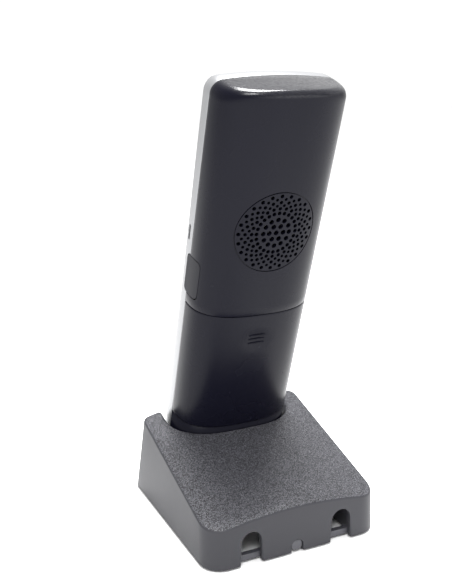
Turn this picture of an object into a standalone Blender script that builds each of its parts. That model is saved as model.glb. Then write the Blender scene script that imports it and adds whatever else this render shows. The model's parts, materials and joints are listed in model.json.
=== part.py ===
"""Cordless phone standing in its charging base.

Metres, +Z up.  The origin is on the floor under the middle of the base, the phone's
keypad faces -Y, its battery door faces +Y, and +X is the user's right.
Base pieces are drawn in world axes.  Handset pieces are drawn in the handset's own axes,
x across, y out of its back and z along its length, under an empty that leans them back.
"""
import math

import bmesh
import bpy
from mathutils import Matrix, Vector

MM = 0.001
GAP = 0.3 * MM  # between pieces that touch on the real phone

# Base shell: heights are measured from the lower edge of the shell, which the feet lift
FOOT_LIFT = 1.0 * MM
BASE_HALF_WIDTH = 36.62 * MM
BASE_REAR = 40.25 * MM
BASE_FRONT = -37.75 * MM
BASE_WALL = 2.0 * MM
SIDE_DRAFT = 0.019
REAR_DRAFT = 0.030
FRONT_LEAN = 0.288
FRONT_BOW = 2.0 * MM
REAR_CORNER = 8.5 * MM
FRONT_CORNER = 3.4 * MM
TOP_REAR_HEIGHT = 17.97 * MM
TOP_SLOPE = 0.2947
TOP_CROWN = 4.03 * MM
TOP_EDGE = 1.0 * MM

# Lip that carries the handset's toe, in front of the main shell
CHIN_HALF_WIDTH = 27.5 * MM
CHIN_FRONT = -40.25 * MM
CHIN_LEAN = 0.155
CHIN_HEIGHT = 20.0 * MM
CHIN_CORNER = 6.0 * MM
CHIN_WALL = 1.7 * MM
CHIN_BACK = -20.0 * MM

# Cable notches in the rear wall, and the sockets behind them
NOTCH_X = 19.0 * MM
NOTCH_HALF_WIDTH = 4.45 * MM
NOTCH_TOP = 12.5 * MM
LATCH_HALF_WIDTH = 2.5 * MM
LATCH_TOP = 4.7 * MM
COVER_THICKNESS = 1.8 * MM
RECESS_HALF_WIDTH = 25.0 * MM
RECESS_FRONT = 19.6 * MM
RECESS_REAR = 37.7 * MM
RECESS_TOP = 12.4 * MM
HOOD_WALL = 1.3 * MM
SILL_DEPTH = 2.2 * MM
SILL_TOP = 2.6 * MM
SOCKET_BOTTOM = 5.3 * MM
SOCKET_TOP = 11.6 * MM
BOARD_BOTTOM = 3.4 * MM
BOARD_THICKNESS = 1.6 * MM
BASE_SCREW_SPOTS = [(x * MM, y * MM) for x in (-30.2, 30.2) for y in (-19.0, 9.0)]
FOOT_SPOTS = [(x * MM, y * MM) for x in (-29.8, 29.8) for y in (-29.5, 30.5)]
FOOT_RADIUS = 3.4 * MM
BOSS_RADIUS = 2.8 * MM

# Handset
LEAN = math.radians(18.04)
HANDSET_ORIGIN = Vector((0, -34.08 * MM, FOOT_LIFT))
HALF_WIDTH = 25.0 * MM
BULGE = 16.44 * MM
ROUNDNESS = 2.72
HANDSET_TOE = 16.5 * MM
HANDSET_TOP = 181.5 * MM
TOP_END_CROWN = 1.66 * MM
TOE_CORNER = 7.0 * MM
TOP_CORNER = 4.6 * MM
END_ROUNDING = 2.0 * MM
SEAM = 0.15 * MM  # each side of a parting line
BAND_DEPTH = 5.4 * MM
FACE_BACK = -5.55 * MM
FACE_FRONT = -6.6 * MM
SHELL_WALL = 1.6 * MM
DOOR_BOTTOM = 40.5 * MM
DOOR_TOP = 93.9 * MM
DOOR_WALL = 1.5 * MM
BAY_HALF_WIDTH = 11.6 * MM
BAY_BOTTOM = 44.6 * MM
BAY_TOP = 91.4 * MM
BAY_FLOOR = 2.2 * MM
BAY_WALL = 1.2 * MM
CELL_RADIUS = 5.2 * MM
CELL_LENGTH = 44.5 * MM
GRILLE_CENTRE = 129.1 * MM
HANDSET_SCREW_SPOTS = [(x * MM, z * MM) for x in (-16.0, 16.0) for z in (46.5, 88.5)]
CONTACT_X = 8.0 * MM
CONTACT_DEPTH = 6.0 * MM
POCKET_CLEARANCE = 0.8 * MM
POCKET_FLOOR = 15.2 * MM
POCKET_WALL = 1.6 * MM
POCKET_FRONT = -7.1 * MM

# Headset socket cover on the side, cut into both the rear cover and the band
JACK_BOTTOM = 98.0 * MM
JACK_TOP = 113.7 * MM
JACK_FRONT = -2.0 * MM
JACK_REAR = 7.3 * MM
JACK_DEPTH = 1.5 * MM
CLIP_SLOT_BOTTOM = 118.8 * MM
CLIP_SLOT_TOP = 125.0 * MM
CLIP_SLOT_DEPTH_AT = -2.9 * MM

# Keypad and display on the face
WINDOW_HALF_WIDTH = 17.0 * MM
WINDOW_BOTTOM = 121.0 * MM
WINDOW_TOP = 154.0 * MM
EARPIECE_CENTRE = 168.0 * MM
KEY_FACE = -7.4 * MM
KEY_BACK = -5.6 * MM
KEY_CLEARANCE = 0.3 * MM
DIGIT_SIZE = (11.4 * MM, 6.4 * MM)
DIGIT_COLUMNS = (-14.0 * MM, 0.0, 14.0 * MM)
DIGIT_ROWS = (81.5 * MM, 72.0 * MM, 62.5 * MM, 53.0 * MM)
DIGIT_NAMES = (("1", "2", "3"), ("4", "5", "6"), ("7", "8", "9"), ("star", "0", "hash"))
SIDE_KEY_X = 15.6 * MM
CALL_KEY_ROW = 95.5 * MM
CALL_KEY_SIZE = (10.6 * MM, 8.0 * MM)
SOFT_KEY_ROW = 109.5 * MM
SOFT_KEY_SIZE = (10.6 * MM, 5.6 * MM)
ROCKER_CENTRE = 101.5 * MM
ROCKER_SIZE = (15.4 * MM, 18.0 * MM)
ROCKER_CORNER = 6.5 * MM
OK_RADIUS = 3.2 * MM
KEY_CORNER = 1.6 * MM

for old in list(bpy.data.objects):
    bpy.data.objects.remove(old, do_unlink=True)

phone_parts = bpy.data.collections.new("cordless_phone_with_base")
cutter_parts = bpy.data.collections.new("cutters")
bpy.context.scene.collection.children.link(phone_parts)
bpy.context.scene.collection.children.link(cutter_parts)

handset_frame = bpy.data.objects.new("handset_frame", None)
handset_frame.location = HANDSET_ORIGIN
handset_frame.rotation_euler = (-LEAN, 0, 0)
phone_parts.objects.link(handset_frame)

CHARCOAL = ((0.035, 0.037, 0.043), 0.38, 0.0)
BASE_GREY = ((0.075, 0.077, 0.085), 0.5, 0.0)
SILVER = ((0.70, 0.71, 0.72), 0.32, 0.6)
RUBBER = ((0.02, 0.02, 0.022), 0.75, 0.0)
KEY_GREY = ((0.09, 0.09, 0.10), 0.5, 0.0)
GREEN_KEY = ((0.05, 0.30, 0.09), 0.45, 0.0)
RED_KEY = ((0.40, 0.04, 0.04), 0.45, 0.0)
BOARD_GREEN = ((0.02, 0.16, 0.06), 0.5, 0.0)
STEEL = ((0.55, 0.55, 0.56), 0.3, 1.0)
GOLD = ((0.80, 0.58, 0.25), 0.25, 1.0)
BLACK_PLASTIC = ((0.015, 0.015, 0.016), 0.45, 0.0)
SMOKED_LENS = ((0.03, 0.035, 0.04), 0.06, 0.0)
CELL_SLEEVE = ((0.06, 0.20, 0.38), 0.35, 0.0)
PANEL_GREY = ((0.33, 0.36, 0.33), 0.4, 0.0)


def own_material(name, finish):
    colour, roughness, metallic = finish
    material = bpy.data.materials.new(name)
    material.use_nodes = True
    shader = material.node_tree.nodes["Principled BSDF"]
    shader.inputs["Base Color"].default_value = (*colour, 1)
    shader.inputs["Roughness"].default_value = roughness
    shader.inputs["Metallic"].default_value = metallic
    return material


def put(name, bm, finish=None, at=(0, 0, 0), on_handset=False):
    """Makes the object with its origin at `at`; without a finish it is a cutter."""
    at = Vector(at)
    bmesh.ops.translate(bm, verts=bm.verts, vec=-at)
    bmesh.ops.recalc_face_normals(bm, faces=bm.faces)
    mesh = bpy.data.meshes.new(name)
    bm.to_mesh(mesh)
    bm.free()
    mesh.shade_smooth()
    mesh.set_sharp_from_angle(angle=math.radians(35))
    obj = bpy.data.objects.new(name, mesh)
    obj.location = at
    if on_handset:
        obj.parent = handset_frame
    if finish:
        phone_parts.objects.link(obj)
        mesh.materials.append(own_material(name, finish))
    else:
        cutter_parts.objects.link(obj)
        obj.hide_render = True
        obj.display_type = "WIRE"
    return obj


def boolean(obj, other, operation="DIFFERENCE"):
    modifier = obj.modifiers.new(f"{operation.lower()}_{other.name}", "BOOLEAN")
    modifier.object = other
    modifier.operation = operation
    modifier.solver = "EXACT"
    return obj


# ---- Simple solids ------------------------------------------------------------------

def box(low, high, corner=0.0, along="Z", segments=4):
    """A box between two corners; its four edges along one axis can be rounded."""
    low, high = Vector(low), Vector(high)
    bm = bmesh.new()
    bmesh.ops.create_cube(bm, size=1)
    size = high - low
    bmesh.ops.scale(bm, verts=bm.verts, vec=size)
    bmesh.ops.translate(bm, verts=bm.verts, vec=(low + high) / 2)
    if corner:
        axis = "XYZ".index(along)
        edges = [e for e in bm.edges if abs((e.verts[0].co - e.verts[1].co)[axis]) > size[axis] * 0.9]
        bmesh.ops.bevel(bm, geom=edges, offset=corner, segments=segments, affect="EDGES", profile=0.5)
    return bm


TURN_TO = {"X": Matrix.Rotation(math.pi / 2, 3, "Y"), "Y": Matrix.Rotation(-math.pi / 2, 3, "X"),
           "Z": Matrix.Identity(3)}


def cylinder(base, radius, length, along="Z", sides=24):
    """A cylinder that starts at `base` and runs in the positive direction of an axis."""
    bm = bmesh.new()
    bmesh.ops.create_cone(bm, cap_ends=True, segments=sides, radius1=radius, radius2=radius, depth=length)
    bmesh.ops.translate(bm, verts=bm.verts, vec=(0, 0, length / 2))
    bmesh.ops.rotate(bm, verts=bm.verts, cent=(0, 0, 0), matrix=TURN_TO[along])
    bmesh.ops.translate(bm, verts=bm.verts, vec=base)
    return bm


def turned(profile, base, along="Z", sides=24):
    """A solid turned from (radius, height) points that run from its bottom centre to its top centre."""
    bm = bmesh.new()
    points = [bm.verts.new((radius, 0, height)) for radius, height in profile]
    edges = [bm.edges.new(pair) for pair in zip(points, points[1:])]
    bmesh.ops.spin(bm, geom=points + edges, cent=(0, 0, 0), axis=(0, 0, 1), angle=2 * math.pi,
                   steps=sides, use_merge=True)
    bmesh.ops.remove_doubles(bm, verts=bm.verts, dist=1e-6)
    bmesh.ops.rotate(bm, verts=bm.verts, cent=(0, 0, 0), matrix=TURN_TO[along])
    bmesh.ops.translate(bm, verts=bm.verts, vec=base)
    return bm


def loft(rings, top_centre=None):
    """Skins closed rings of equal length; the last ring is closed flat, or to a centre point."""
    bm = bmesh.new()
    rows = [[bm.verts.new(point) for point in ring] for ring in rings]
    for lower, upper in zip(rows, rows[1:]):
        for i, vert in enumerate(lower):
            j = (i + 1) % len(lower)
            bm.faces.new((vert, lower[j], upper[j], upper[i]))
    bm.faces.new(list(reversed(rows[0])))
    if top_centre is None:
        bm.faces.new(rows[-1])
    else:
        centre = bm.verts.new(top_centre)
        for i, vert in enumerate(rows[-1]):
            bm.faces.new((vert, rows[-1][(i + 1) % len(rows[-1])], centre))
    return bm


# ---- Base shell ---------------------------------------------------------------------

def corner_arc(corner, radius, start, steps, turn=math.pi / 2):
    """Points of an arc that rounds a corner, from its start direction round to start + turn."""
    reach = math.sqrt(2) if abs(turn - math.pi / 2) < 1e-9 else 1 / math.cos(turn / 2)
    middle = start + turn / 2
    centre = Vector(corner) - Vector((math.cos(middle), math.sin(middle))) * radius * reach
    return [centre + Vector((math.cos(start + turn * k / steps), math.sin(start + turn * k / steps))) * radius
            for k in range(steps + 1)]


def base_outline(height, inset):
    """Outline of the main shell at one height, anticlockwise from its rear right corner."""
    half = BASE_HALF_WIDTH - SIDE_DRAFT * height - inset
    rear = BASE_REAR - REAR_DRAFT * height - inset
    front = BASE_FRONT + FRONT_LEAN * height + inset
    rear_radius = REAR_CORNER - inset
    front_radius = max(FRONT_CORNER - inset, 1.0 * MM)
    edge_steps = 8

    def front_edge(x):
        return front - FRONT_BOW * (1 - (x / half) ** 2)

    slope = math.atan(2 * FRONT_BOW / half)
    points = corner_arc((half, rear), rear_radius, 0, 6)
    rear_run = half - rear_radius
    points += [Vector((rear_run * (1 - 2 * k / edge_steps), rear)) for k in range(1, edge_steps)]
    points += corner_arc((-half, rear), rear_radius, math.pi / 2, 6)
    points += corner_arc((-half, front), front_radius, math.pi, 4, math.pi / 2 - slope)
    front_run = half - front_radius * 1.2
    points += [Vector((x, front_edge(x))) for k in range(1, edge_steps)
               for x in [front_run * (2 * k / edge_steps - 1)]]
    points += corner_arc((half, front), front_radius, 1.5 * math.pi + slope, 4, math.pi / 2 - slope)
    return points


def base_top(x, y):
    """Height of the sloping, crowned top over a point, from the shell's lower edge."""
    return TOP_REAR_HEIGHT + TOP_SLOPE * (BASE_REAR - y) - TOP_CROWN * (x / BASE_HALF_WIDTH) ** 2


def base_rim(inset, drop):
    """Ring of points that lies `drop` under the crowned top, where the drafted walls reach it."""
    heights = [TOP_REAR_HEIGHT] * len(base_outline(0, inset))
    for _ in range(6):
        ring = [base_outline(height, inset)[i] for i, height in enumerate(heights)]
        heights = [base_top(*point) - drop for point in ring]
    return [Vector((*point, height + FOOT_LIFT)) for point, height in zip(ring, heights)]


def base_solid(inset=0.0, lowered=0.0, bottom=0.0):
    """The solid wedge of the base, with its top edge rounded; an inset one hollows it."""
    edge = max(TOP_EDGE - inset * 0.3, 0.4 * MM)
    rings = [[Vector((*point, bottom + FOOT_LIFT)) for point in base_outline(bottom, inset)]]
    for k in range(4):
        angle = math.pi / 2 * k / 3
        rings.append(base_rim(inset + edge * (1 - math.cos(angle)), lowered + edge * (1 - math.sin(angle))))
    middle = Vector((0, 2 * MM))
    rim = [Vector(point[:2]) for point in rings[-1]]
    for share in (0.72, 0.4):
        shrunk = [middle + (point - middle) * share for point in rim]
        rings.append([Vector((*p, base_top(*p) - lowered + FOOT_LIFT)) for p in shrunk])
    return loft(rings, Vector((*middle, base_top(*middle) - lowered + FOOT_LIFT)))


def base_plate(inset, bottom, top):
    return loft([[Vector((*point, height + FOOT_LIFT)) for point in base_outline(height, inset)]
                 for height in (bottom, top)])


def chin_solid(inset, bottom, top):
    """The lip in front of the handset's toe."""
    rings = []
    for height in (bottom, top):
        front = CHIN_FRONT + CHIN_LEAN * height + inset
        half = CHIN_HALF_WIDTH - inset
        ring = [Vector((half, CHIN_BACK)), Vector((-half, CHIN_BACK))]
        ring += corner_arc((-half, front), CHIN_CORNER - inset, math.pi, 5)
        ring += corner_arc((half, front), CHIN_CORNER - inset, 1.5 * math.pi, 5)
        rings.append([Vector((*point, height + FOOT_LIFT)) for point in ring])
    return loft(rings)


def arch(x, half_width, top, taper=0.0):
    """Cutter for a round-topped notch through the rear wall."""
    spring = top - half_width * (1 - taper)
    outline = [(x + half_width, -2 * MM), (x + half_width * (1 - taper), spring)]
    outline += [(x + half_width * (1 - taper) * math.cos(a), spring + half_width * (1 - taper) * math.sin(a))
                for a in [math.pi * k / 8 for k in range(1, 8)]]
    outline += [(x - half_width * (1 - taper), spring), (x - half_width, -2 * MM)]
    rings = [[Vector((px, y, pz + FOOT_LIFT)) for px, pz in outline]
             for y in (BASE_REAR - BASE_WALL - 1.5 * MM, BASE_REAR + 5 * MM)]
    return loft(rings)


# ---- Handset shell ------------------------------------------------------------------

def superpower(value):
    return math.copysign(abs(value) ** (2 / ROUNDNESS), value)


def end_profile(distance, radius):
    """How far a rounded end has drawn in at a distance from the end."""
    if distance >= radius:
        return 0.0
    return radius - math.sqrt(max(radius ** 2 - (radius - distance) ** 2, 0))


def stations(low, high, round_low, round_high):
    """Lengthwise stations, close together where an end is rounded."""
    steps = [0.0, 0.25 * MM, 0.8 * MM, 1.6 * MM, 2.6 * MM, 4.2 * MM, 7.0 * MM]
    crown_start = 20 * MM
    found = {low, high}
    if round_low:
        found |= {low + step for step in steps}
    if round_high:
        found |= {high - step for step in steps} | {high - crown_start}
    return sorted(found)


def handset_solid(front, back, inset=0.0, low=HANDSET_TOE, high=HANDSET_TOP, domed=True,
                  round_low=True, round_high=True, columns=24, chamfer=0.0):
    """A solid with the handset's outline, from `front` to a back that is domed or flat at `back`.

    Ahead of the seam its sides are straight.
    """
    end = max(END_ROUNDING - inset, 0.8 * MM)
    low_end, high_end = low + (inset if round_low else 0), high - (inset if round_high else 0)
    rows = []
    for z in stations(low_end, high_end, round_low, round_high):
        narrowing = drawn_in = 0.0
        for rounded, distance, corner in ((round_low, z - low_end, TOE_CORNER),
                                          (round_high, high_end - z, TOP_CORNER)):
            if rounded:
                narrowing = max(narrowing, end_profile(distance, max(corner - inset, 1.5 * MM)))
                drawn_in = max(drawn_in, end_profile(distance, end))
        half = HALF_WIDTH - inset - narrowing
        crown = 0.0
        if round_high:
            crown = TOP_END_CROWN * max(0.0, 1 - (high_end - z) / (20 * MM))
        back_row, front_row = [], []
        for k in range(columns + 1):
            angle = math.pi * k / columns
            across = superpower(math.cos(angle))
            x = half * across
            dome = (back - drawn_in - SEAM) * superpower(math.sin(angle))
            sunk = crown * (x / HALF_WIDTH) ** 2
            back_row.append((x, SEAM + dome if domed else back, z - sunk))
            pull = (z - (low_end + high_end) / 2) / ((high_end - low_end) / 2)
            front_row.append((x - chamfer * across, front, z - sunk - chamfer * pull))
        rows.append((back_row, front_row))
    return sandwich(rows)


def sandwich(rows):
    """Closes a back and a front sheet of points with side and end strips."""
    bm = bmesh.new()
    sheets = [[[bm.verts.new(point) for point in row[side]] for row in rows] for side in (0, 1)]
    back, front = sheets
    for sheet in sheets:
        for lower, upper in zip(sheet, sheet[1:]):
            for i in range(len(lower) - 1):
                bm.faces.new((lower[i], lower[i + 1], upper[i + 1], upper[i]))
    for end in (0, -1):
        for i in range(len(back[end]) - 1):
            bm.faces.new((back[end][i], back[end][i + 1], front[end][i + 1], front[end][i]))
    for side in (0, -1):
        for k in range(len(rows) - 1):
            bm.faces.new((back[k][side], back[k + 1][side], front[k + 1][side], front[k][side]))
    bmesh.ops.remove_doubles(bm, verts=bm.verts, dist=1e-7)
    return bm


# ---- Base pieces --------------------------------------------------------------------

def lifted(x, y, height):
    """World position of a base point given by its height above the shell's lower edge."""
    return (x, y, height + FOOT_LIFT)


def make_base_shell():
    shell = put("base_top_shell", base_solid(), BASE_GREY)
    boolean(shell, put("chin_outside", chin_solid(0, 0, CHIN_HEIGHT)), "UNION")
    hollow = put("base_hollow", base_solid(BASE_WALL, BASE_WALL, -3 * MM))
    boolean(hollow, put("chin_hollow", chin_solid(CHIN_WALL, -3 * MM, CHIN_HEIGHT - CHIN_WALL)), "UNION")
    outside = -POCKET_CLEARANCE - POCKET_WALL
    pocket_wall = handset_solid(POCKET_FRONT - POCKET_WALL, BULGE - outside, outside,
                                low=POCKET_FLOOR - POCKET_WALL - outside, high=70 * MM, round_high=False)
    boolean(hollow, put("pocket_wall", pocket_wall, on_handset=True))
    for i, (x, y) in enumerate(BASE_SCREW_SPOTS):
        boss = cylinder(lifted(x, y, COVER_THICKNESS + GAP), BOSS_RADIUS, 40 * MM)
        boolean(hollow, put(f"boss_{i}", boss))
    boolean(shell, hollow)
    pocket = handset_solid(POCKET_FRONT, BULGE + POCKET_CLEARANCE, -POCKET_CLEARANCE,
                           low=POCKET_FLOOR + POCKET_CLEARANCE, high=72 * MM, round_high=False)
    boolean(shell, put("pocket", pocket, on_handset=True))
    scoop = box(lifted(-26.2 * MM, -60 * MM, CHIN_HEIGHT), lifted(26.2 * MM, -27.5 * MM, 60 * MM), 4 * MM, "Y")
    boolean(shell, put("scoop", scoop))
    for side in (-1, 1):
        boolean(shell, put(f"notch_{side}", arch(side * NOTCH_X, NOTCH_HALF_WIDTH, NOTCH_TOP, 0.1)))
        pin_hole = cylinder((side * CONTACT_X, CONTACT_DEPTH, 10 * MM), 1.5 * MM, 10 * MM, sides=16)
        boolean(shell, put(f"pin_hole_{side}", pin_hole, on_handset=True))
    boolean(shell, put("latch_notch", arch(0, LATCH_HALF_WIDTH, LATCH_TOP)))
    for i, (x, y) in enumerate(BASE_SCREW_SPOTS):
        boolean(shell, put(f"pilot_{i}", cylinder(lifted(x, y, -1 * MM), 1.15 * MM, 15 * MM, sides=12)))


def make_bottom_cover():
    clear = BASE_WALL + GAP
    cover = put("base_bottom_cover", base_plate(clear, 0, COVER_THICKNESS), BLACK_PLASTIC)
    boolean(cover, put("cover_chin", chin_solid(CHIN_WALL + GAP, 0, COVER_THICKNESS)), "UNION")
    hood = box(lifted(-RECESS_HALF_WIDTH - HOOD_WALL, RECESS_FRONT - HOOD_WALL, 0.5 * MM),
               lifted(RECESS_HALF_WIDTH + HOOD_WALL, RECESS_REAR, RECESS_TOP + HOOD_WALL))
    boolean(cover, put("hood", hood), "UNION")
    recess = box(lifted(-RECESS_HALF_WIDTH, RECESS_FRONT, -3 * MM),
                 lifted(RECESS_HALF_WIDTH, 60 * MM, RECESS_TOP))
    boolean(cover, put("recess", recess))
    sill = box(lifted(-RECESS_HALF_WIDTH - HOOD_WALL / 2, RECESS_REAR - SILL_DEPTH, 0.2 * MM),
               lifted(RECESS_HALF_WIDTH + HOOD_WALL / 2, RECESS_REAR - 0.1 * MM, SILL_TOP))
    latch = box(lifted(-2.1 * MM, RECESS_REAR - 0.8 * MM, 0.4 * MM),
                lifted(2.1 * MM, BASE_REAR - 0.7 * MM, 4.2 * MM), 1.4 * MM, "Y")
    boolean(cover, put("sill", sill), "UNION")
    boolean(cover, put("latch_tab", latch), "UNION")
    for side in (-1, 1):
        opening = box(lifted(side * NOTCH_X - 6.1 * MM, RECESS_FRONT - 4 * MM, SOCKET_BOTTOM - GAP),
                      lifted(side * NOTCH_X + 6.1 * MM, RECESS_FRONT + 2 * MM, SOCKET_TOP + GAP))
        boolean(cover, put(f"socket_opening_{side}", opening))
    for i, (x, y) in enumerate(BASE_SCREW_SPOTS):
        head_hole = [(0, -1 * MM), (2.7 * MM, -1 * MM), (2.7 * MM, 1.2 * MM), (1.3 * MM, 1.2 * MM),
                     (1.3 * MM, 4 * MM), (0, 4 * MM)]
        boolean(cover, put(f"head_hole_{i}", turned(head_hole, lifted(x, y, 0), sides=16)))


def screw(name, base, along, head_radius, length, on_handset=False):
    """A screw with a slotless domed head at its low end."""
    head, shank = 0.9 * MM, head_radius * 0.4
    profile = [(0, 0), (head_radius * 0.8, 0), (head_radius, 0.3 * MM), (head_radius, head), (shank, head),
               (shank, length - shank), (0, length)]
    put(name, turned(profile, base, along, sides=12), STEEL, at=base, on_handset=on_handset)


def make_base_inside():
    board = box(lifted(-26.5 * MM, -22 * MM, BOARD_BOTTOM),
                lifted(26.5 * MM, RECESS_FRONT - HOOD_WALL - 0.5 * MM, BOARD_BOTTOM + BOARD_THICKNESS))
    put("base_board", board, BOARD_GREEN)
    socket_front = RECESS_FRONT - 9 * MM
    socket_rear = RECESS_FRONT - 0.4 * MM
    inlet = put("dc_inlet", box(lifted(NOTCH_X - 4.6 * MM, socket_front, SOCKET_BOTTOM),
                                lifted(NOTCH_X + 4.6 * MM, socket_rear, SOCKET_TOP)), BLACK_PLASTIC)
    middle = (SOCKET_BOTTOM + SOCKET_TOP) / 2
    ring = [(0.8 * MM, 0), (2.6 * MM, 0), (2.6 * MM, 10 * MM), (0.8 * MM, 10 * MM), (0.8 * MM, 0)]
    ring = turned(ring, lifted(NOTCH_X, socket_rear - 7 * MM, middle), "Y", 16)
    boolean(inlet, put("barrel_bore", ring))
    line = put("line_socket", box(lifted(-NOTCH_X - 5.8 * MM, socket_front, SOCKET_BOTTOM),
                                  lifted(-NOTCH_X + 5.8 * MM, socket_rear, SOCKET_TOP)), BLACK_PLASTIC)
    mouth = box(lifted(-NOTCH_X - 3.6 * MM, socket_rear - 7 * MM, middle - 2.3 * MM),
                lifted(-NOTCH_X + 3.6 * MM, socket_rear + 3 * MM, middle + 2.3 * MM))
    boolean(line, put("plug_mouth", mouth))
    for i, (x, y) in enumerate(BASE_SCREW_SPOTS):
        screw(f"base_screw_{i + 1}", lifted(x, y, 0.15 * MM), "Z", 2.3 * MM, 12 * MM)
    for i, (x, y) in enumerate(FOOT_SPOTS):
        foot = [(0, 0), (FOOT_RADIUS - 0.3 * MM, 0), (FOOT_RADIUS, 0.2 * MM),
                (FOOT_RADIUS, FOOT_LIFT - GAP), (0, FOOT_LIFT - GAP)]
        put(f"base_foot_{i + 1}", turned(foot, (x, y, 0), sides=20), RUBBER, at=(x, y, 0))
    for side, name in ((-1, "charge_pin_left"), (1, "charge_pin_right")):
        pin = [(0, 10.4 * MM), (1.2 * MM, 10.4 * MM), (1.2 * MM, 15.4 * MM), (0.7 * MM, 16.05 * MM),
               (0, 16.05 * MM)]
        spot = (side * CONTACT_X, CONTACT_DEPTH, 0)
        put(name, turned(pin, spot, sides=16), GOLD, at=(spot[0], spot[1], 16.05 * MM), on_handset=True)


# ---- Handset casing -----------------------------------------------------------------

def jack_block(grow, depth):
    """The region of the side that the headset socket's cover fills."""
    return box((HALF_WIDTH - depth, JACK_FRONT - grow, JACK_BOTTOM - grow),
               (HALF_WIDTH + 3 * MM, JACK_REAR + grow, JACK_TOP + grow), 2.0 * MM, "X")


def make_rear_cover():
    cover = put("rear_cover", handset_solid(SEAM, BULGE), CHARCOAL, on_handset=True)
    step = put("door_step", box((-40 * MM, -5 * MM, DOOR_BOTTOM - GAP), (40 * MM, 30 * MM, DOOR_TOP + GAP)),
               on_handset=True)
    inner = DOOR_WALL + 0.4 * MM
    ledge = handset_solid(-6 * MM, BULGE - inner, inner, low=10 * MM, high=130 * MM, round_low=False,
                          round_high=False)
    boolean(step, put("door_ledge", ledge, on_handset=True))
    boolean(cover, step)
    upper = handset_solid(-2 * MM, BULGE - SHELL_WALL, SHELL_WALL, low=DOOR_TOP + 1.6 * MM, round_low=False)
    boolean(cover, put("upper_hollow", upper, on_handset=True))
    lower = handset_solid(-2 * MM, BULGE - SHELL_WALL, SHELL_WALL, high=DOOR_BOTTOM - 1.6 * MM,
                          round_high=False)
    boolean(cover, put("lower_hollow", lower, on_handset=True))
    wall = inner + 1.3 * MM
    hollow = put("door_zone_hollow", handset_solid(-2 * MM, BULGE - wall, wall, low=DOOR_BOTTOM + 1.6 * MM,
                 high=DOOR_TOP - 1.6 * MM, round_low=False, round_high=False), on_handset=True)
    bay_outside = box((-BAY_HALF_WIDTH - BAY_WALL, BAY_FLOOR - BAY_WALL, BAY_BOTTOM - 4 * MM),
                      (BAY_HALF_WIDTH + BAY_WALL, 30 * MM, BAY_TOP + 4 * MM))
    boolean(hollow, put("bay_outside", bay_outside, on_handset=True))
    for i, (x, z) in enumerate(HANDSET_SCREW_SPOTS):
        boolean(hollow, put(f"handset_boss_{i}", cylinder((x, -4 * MM, z), BOSS_RADIUS, 20 * MM, "Y"),
                            on_handset=True))
    boolean(cover, hollow)
    bay = box((-BAY_HALF_WIDTH, BAY_FLOOR, BAY_BOTTOM), (BAY_HALF_WIDTH, 30 * MM, BAY_TOP), 1.5 * MM, "Y")
    boolean(cover, put("battery_bay", bay, on_handset=True))
    for i, (x, z) in enumerate(HANDSET_SCREW_SPOTS):
        hole = [(0, 2 * MM), (1.1 * MM, 2 * MM), (1.1 * MM, 9.2 * MM), (2.4 * MM, 9.2 * MM),
                (2.4 * MM, 20 * MM), (0, 20 * MM)]
        boolean(cover, put(f"handset_screw_hole_{i}", turned(hole, (x, 0, z), "Y", 12), on_handset=True))
    boolean(cover, put("jack_pocket", jack_block(GAP, 3.4 * MM), on_handset=True))
    for side in (-1, 1):
        pad_hole = box((side * CONTACT_X - 2.3 * MM, CONTACT_DEPTH - 2.3 * MM, 10 * MM),
                       (side * CONTACT_X + 2.3 * MM, CONTACT_DEPTH + 2.3 * MM, 22 * MM))
        boolean(cover, put(f"pad_hole_{side}", pad_hole, on_handset=True))


def make_band():
    band = put("side_band", handset_solid(-BAND_DEPTH, -SEAM, domed=False, columns=10), SILVER, on_handset=True)
    inside = handset_solid(-8 * MM, 3 * MM, SHELL_WALL, domed=False, columns=10)
    boolean(band, put("band_inside", inside, on_handset=True))
    boolean(band, put("jack_pocket_in_band", jack_block(GAP, 3.4 * MM), on_handset=True))
    for side in (-1, 1):
        slot = box((side * HALF_WIDTH - 1 * MM, CLIP_SLOT_DEPTH_AT - 0.5 * MM, CLIP_SLOT_BOTTOM),
                   (side * HALF_WIDTH + 1 * MM, CLIP_SLOT_DEPTH_AT + 0.5 * MM, CLIP_SLOT_TOP))
        boolean(band, put(f"clip_slot_{side}", slot, on_handset=True))


def make_battery_door():
    door = handset_solid(SEAM, BULGE, low=DOOR_BOTTOM, high=DOOR_TOP, round_low=False, round_high=False)
    door = put("battery_door", door, CHARCOAL, at=(0, 0, DOOR_BOTTOM), on_handset=True)
    inside = handset_solid(-3 * MM, BULGE - DOOR_WALL, DOOR_WALL, low=20 * MM, high=110 * MM, round_low=False,
                           round_high=False)
    boolean(door, put("door_inside", inside, on_handset=True))
    for k in range(3):
        z = (84.6 - 1.75 * k) * MM
        ridge = box((-3 * MM, BULGE - 0.6 * MM, z - 0.25 * MM), (3.6 * MM, BULGE + 0.25 * MM, z + 0.25 * MM))
        boolean(door, put(f"grip_ridge_{k}", ridge, on_handset=True), "UNION")


def make_jack_cover():
    hinge = (HALF_WIDTH, JACK_FRONT, (JACK_BOTTOM + JACK_TOP) / 2)
    cover = put("jack_cover", jack_block(0, 8 * MM), RUBBER, at=hinge, on_handset=True)
    full_section = {"low": 80 * MM, "high": 130 * MM, "round_low": False, "round_high": False}
    skin = put("jack_skin", handset_solid(-5 * MM, BULGE, **full_section), on_handset=True)
    inside = handset_solid(-6 * MM, BULGE - JACK_DEPTH, JACK_DEPTH, **full_section)
    boolean(skin, put("jack_skin_inside", inside, on_handset=True))
    boolean(cover, skin, "INTERSECT")


# ---- Face: cover, display and keys --------------------------------------------------

def face_opening(name, x, z, size, corner, grow=KEY_CLEARANCE):
    width, height = size[0] / 2 + grow, size[1] / 2 + grow
    cutter = box((x - width, -12 * MM, z - height), (x + width, 0, z + height), corner + grow, "Y")
    return put(name, cutter, on_handset=True)


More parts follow.
